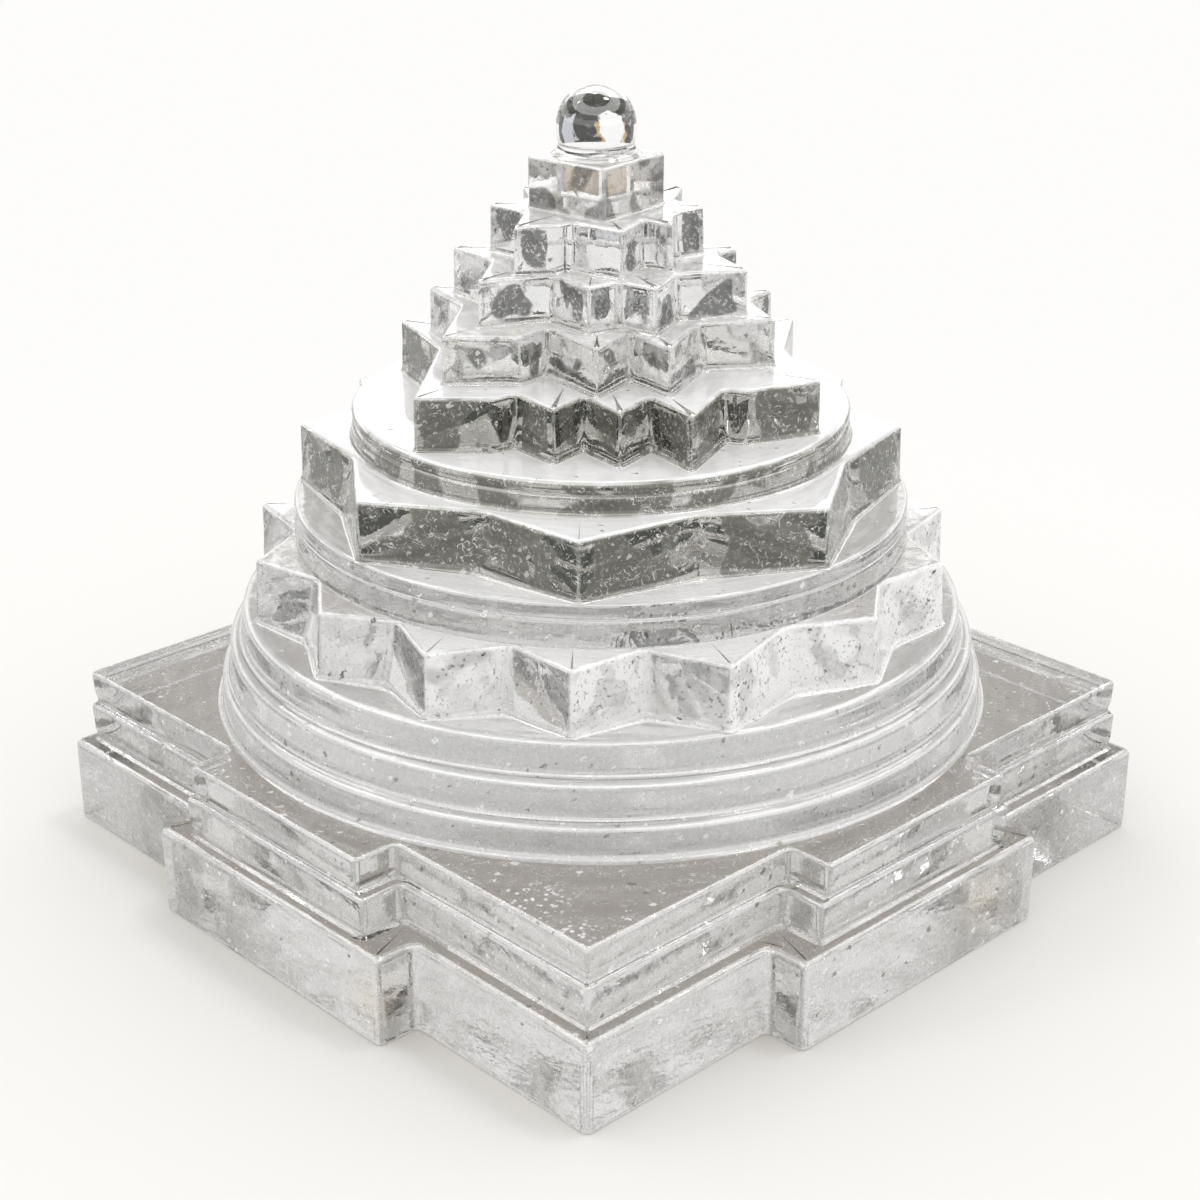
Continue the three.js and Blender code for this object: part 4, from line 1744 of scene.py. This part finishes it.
FINISHES = {
    Polish.CLOUDY: Crystal(
        "cloudy_quartz",
        tint=(0.68, 0.672, 0.665, 1.0),
        veil=(0.57, 0.563, 0.556, 1.0),
        haze=0.15,
        cloud_scale=0.3,
        cloud_level=0.50,
        cloud_edge=0.12,
        terrace=0.02,
        painted_glints=0.06,
        speckle=0.3,
        crinkle=0.5,
        painted_highlight=0.6,
        waves=0.04,
        stains=(
            Stain((50.0, 10.0, 6.0), 7.0),
            Stain((19.0, -50.0, 5.0), 6.0),
        ),
        pebbles=(
            Stain((33.0, -40.5, 19.4), 6.5),
            Stain((40.0, -41.5, 19.4), 4.0),
        ),
    ),
    Polish.TURNED: Crystal(
        "turned_quartz",
        tint=(0.84, 0.84, 0.845, 1.0),
        veil=(0.56, 0.56, 0.565, 1.0),
        haze=0.5,
        milk=0.15,
        cloud_scale=0.4,
        cloud_edge=0.2,
        terrace=0.35,
        speckle=0.3,
        crinkle=0.5,
        painted_highlight=0.7,
        waves=0.03,
        marks=0.015,
    ),
    Polish.RINGED: Crystal(
        "ringed_quartz",
        tint=(0.88, 0.88, 0.885, 1.0),
        veil=(0.78, 0.78, 0.785, 1.0),
        haze=0.15,
        milk=0.2,
        cloud_scale=0.3,
        terrace=0.4,
        speckle=0.15,
        crinkle=0.3,
        painted_highlight=0.6,
        waves=0.08,
        marks=0.03,
    ),
    Polish.VEINED: Crystal(
        "veined_quartz",
        tint=(0.92, 0.92, 0.93, 1.0),
        veil=(0.97, 0.97, 0.985, 1.0),
        haze=0.45,
        cloud_scale=0.3,
        cloud_edge=0.12,
        painted_dark=0.25,
        painted_dark_level=0.2,
        painted_dark_colour=(0.06, 0.065, 0.07, 1.0),
        window=0.25,
        painted_side_light=0.62,
        speckle=0.25,
        crinkle=0.6,
        dots=1.0,
        painted_highlight=0.6,
        waves=0.06,
    ),
    Polish.DEEP: Crystal(
        "deep_quartz",
        tint=(0.52, 0.52, 0.47, 1.0),
        veil=(0.95, 0.95, 0.965, 1.0),
        milk=0.25,
        cloud_scale=0.4,
        cloud_level=0.60,
        painted_dark=0.76,
        painted_dark_level=0.36,
        painted_dark_colour=(0.036, 0.036, 0.018, 1.0),
        window=0.3,
        terrace=0.95,
        painted_glints=0.35,
        speckle=0.15,
        crinkle=0.8,
        flecks=0.6,
        painted_highlight=0.7,
        waves=0.02,
        marks=0.005,
    ),
    Polish.MOTTLED: Crystal(
        "mottled_quartz",
        tint=(0.86, 0.86, 0.86, 1.0),
        veil=(0.93, 0.93, 0.945, 1.0),
        haze=0.06,
        milk=0.5,
        cloud_scale=0.32,
        cloud_level=0.50,
        cloud_edge=0.12,
        painted_dark=0.82,
        painted_dark_level=0.28,
        window=0.28,
        terrace=0.65,
        painted_glints=0.35,
        speckle=0.3,
        crinkle=0.8,
        flecks=0.7,
        painted_highlight=0.7,
    ),
    Polish.BLOCK: Crystal(
        "block_quartz",
        veil=(0.62, 0.60, 0.57, 1.0),
        haze=0.34,
        milk=0.4,
        cloud_scale=0.25,
        cloud_level=0.47,
        cloud_edge=0.05,
        painted_dark=0.75,
        painted_dark_level=0.44,
        painted_dark_colour=(0.03, 0.032, 0.028, 1.0),
        terrace=0.6,
        painted_glints=0.3,
        speckle=0.15,
        flecks=0.5,
        painted_highlight=0.8,
        waves=0.02,
    ),
    Polish.LENS: Crystal(
        "lens_quartz",
        milk=0.0,
        terrace=0.0,
        painted_glints=0.0,
        speckle=0.1,
        crinkle=0.0,
        flecks=0.35,
        dots=0.0,
        waves=0.0,
        marks=0.0,
        grain=0.0,
    ),
}


def main() -> None:
    """Builds the carving from the ground up, then the studio and the camera."""
    logging.basicConfig(level=logging.INFO, format="%(name)s: %(message)s")
    dress = {polish: finish.material() for polish, finish in FINISHES.items()}
    seat = Seat().material()
    carving = [
        *GatedBase().tiers(),
        *RoundSteps().tiers(),
        *LotusOfSixteen().tiers(),
        *LotusOfEight().tiers(),
        *StarMountain().tiers(),
        *Finial().tiers(),
    ]
    for tier, above in zip(carving, [*carving[1:], None]):
        piece = tier.build(above, dress[tier.polish], seat)
        LOG.info("%s: %d faces", piece.name, len(piece.data.polygons))
    Studio().build()
    Viewpoint().build()

    scene = bpy.context.scene
    scene.view_settings.view_transform = "Standard"
    scene.cycles.max_bounces = 24
    scene.cycles.transmission_bounces = 24
    scene.cycles.glossy_bounces = 12
    scene.cycles.transparent_max_bounces = 96


if __name__ == "__main__":
    main()
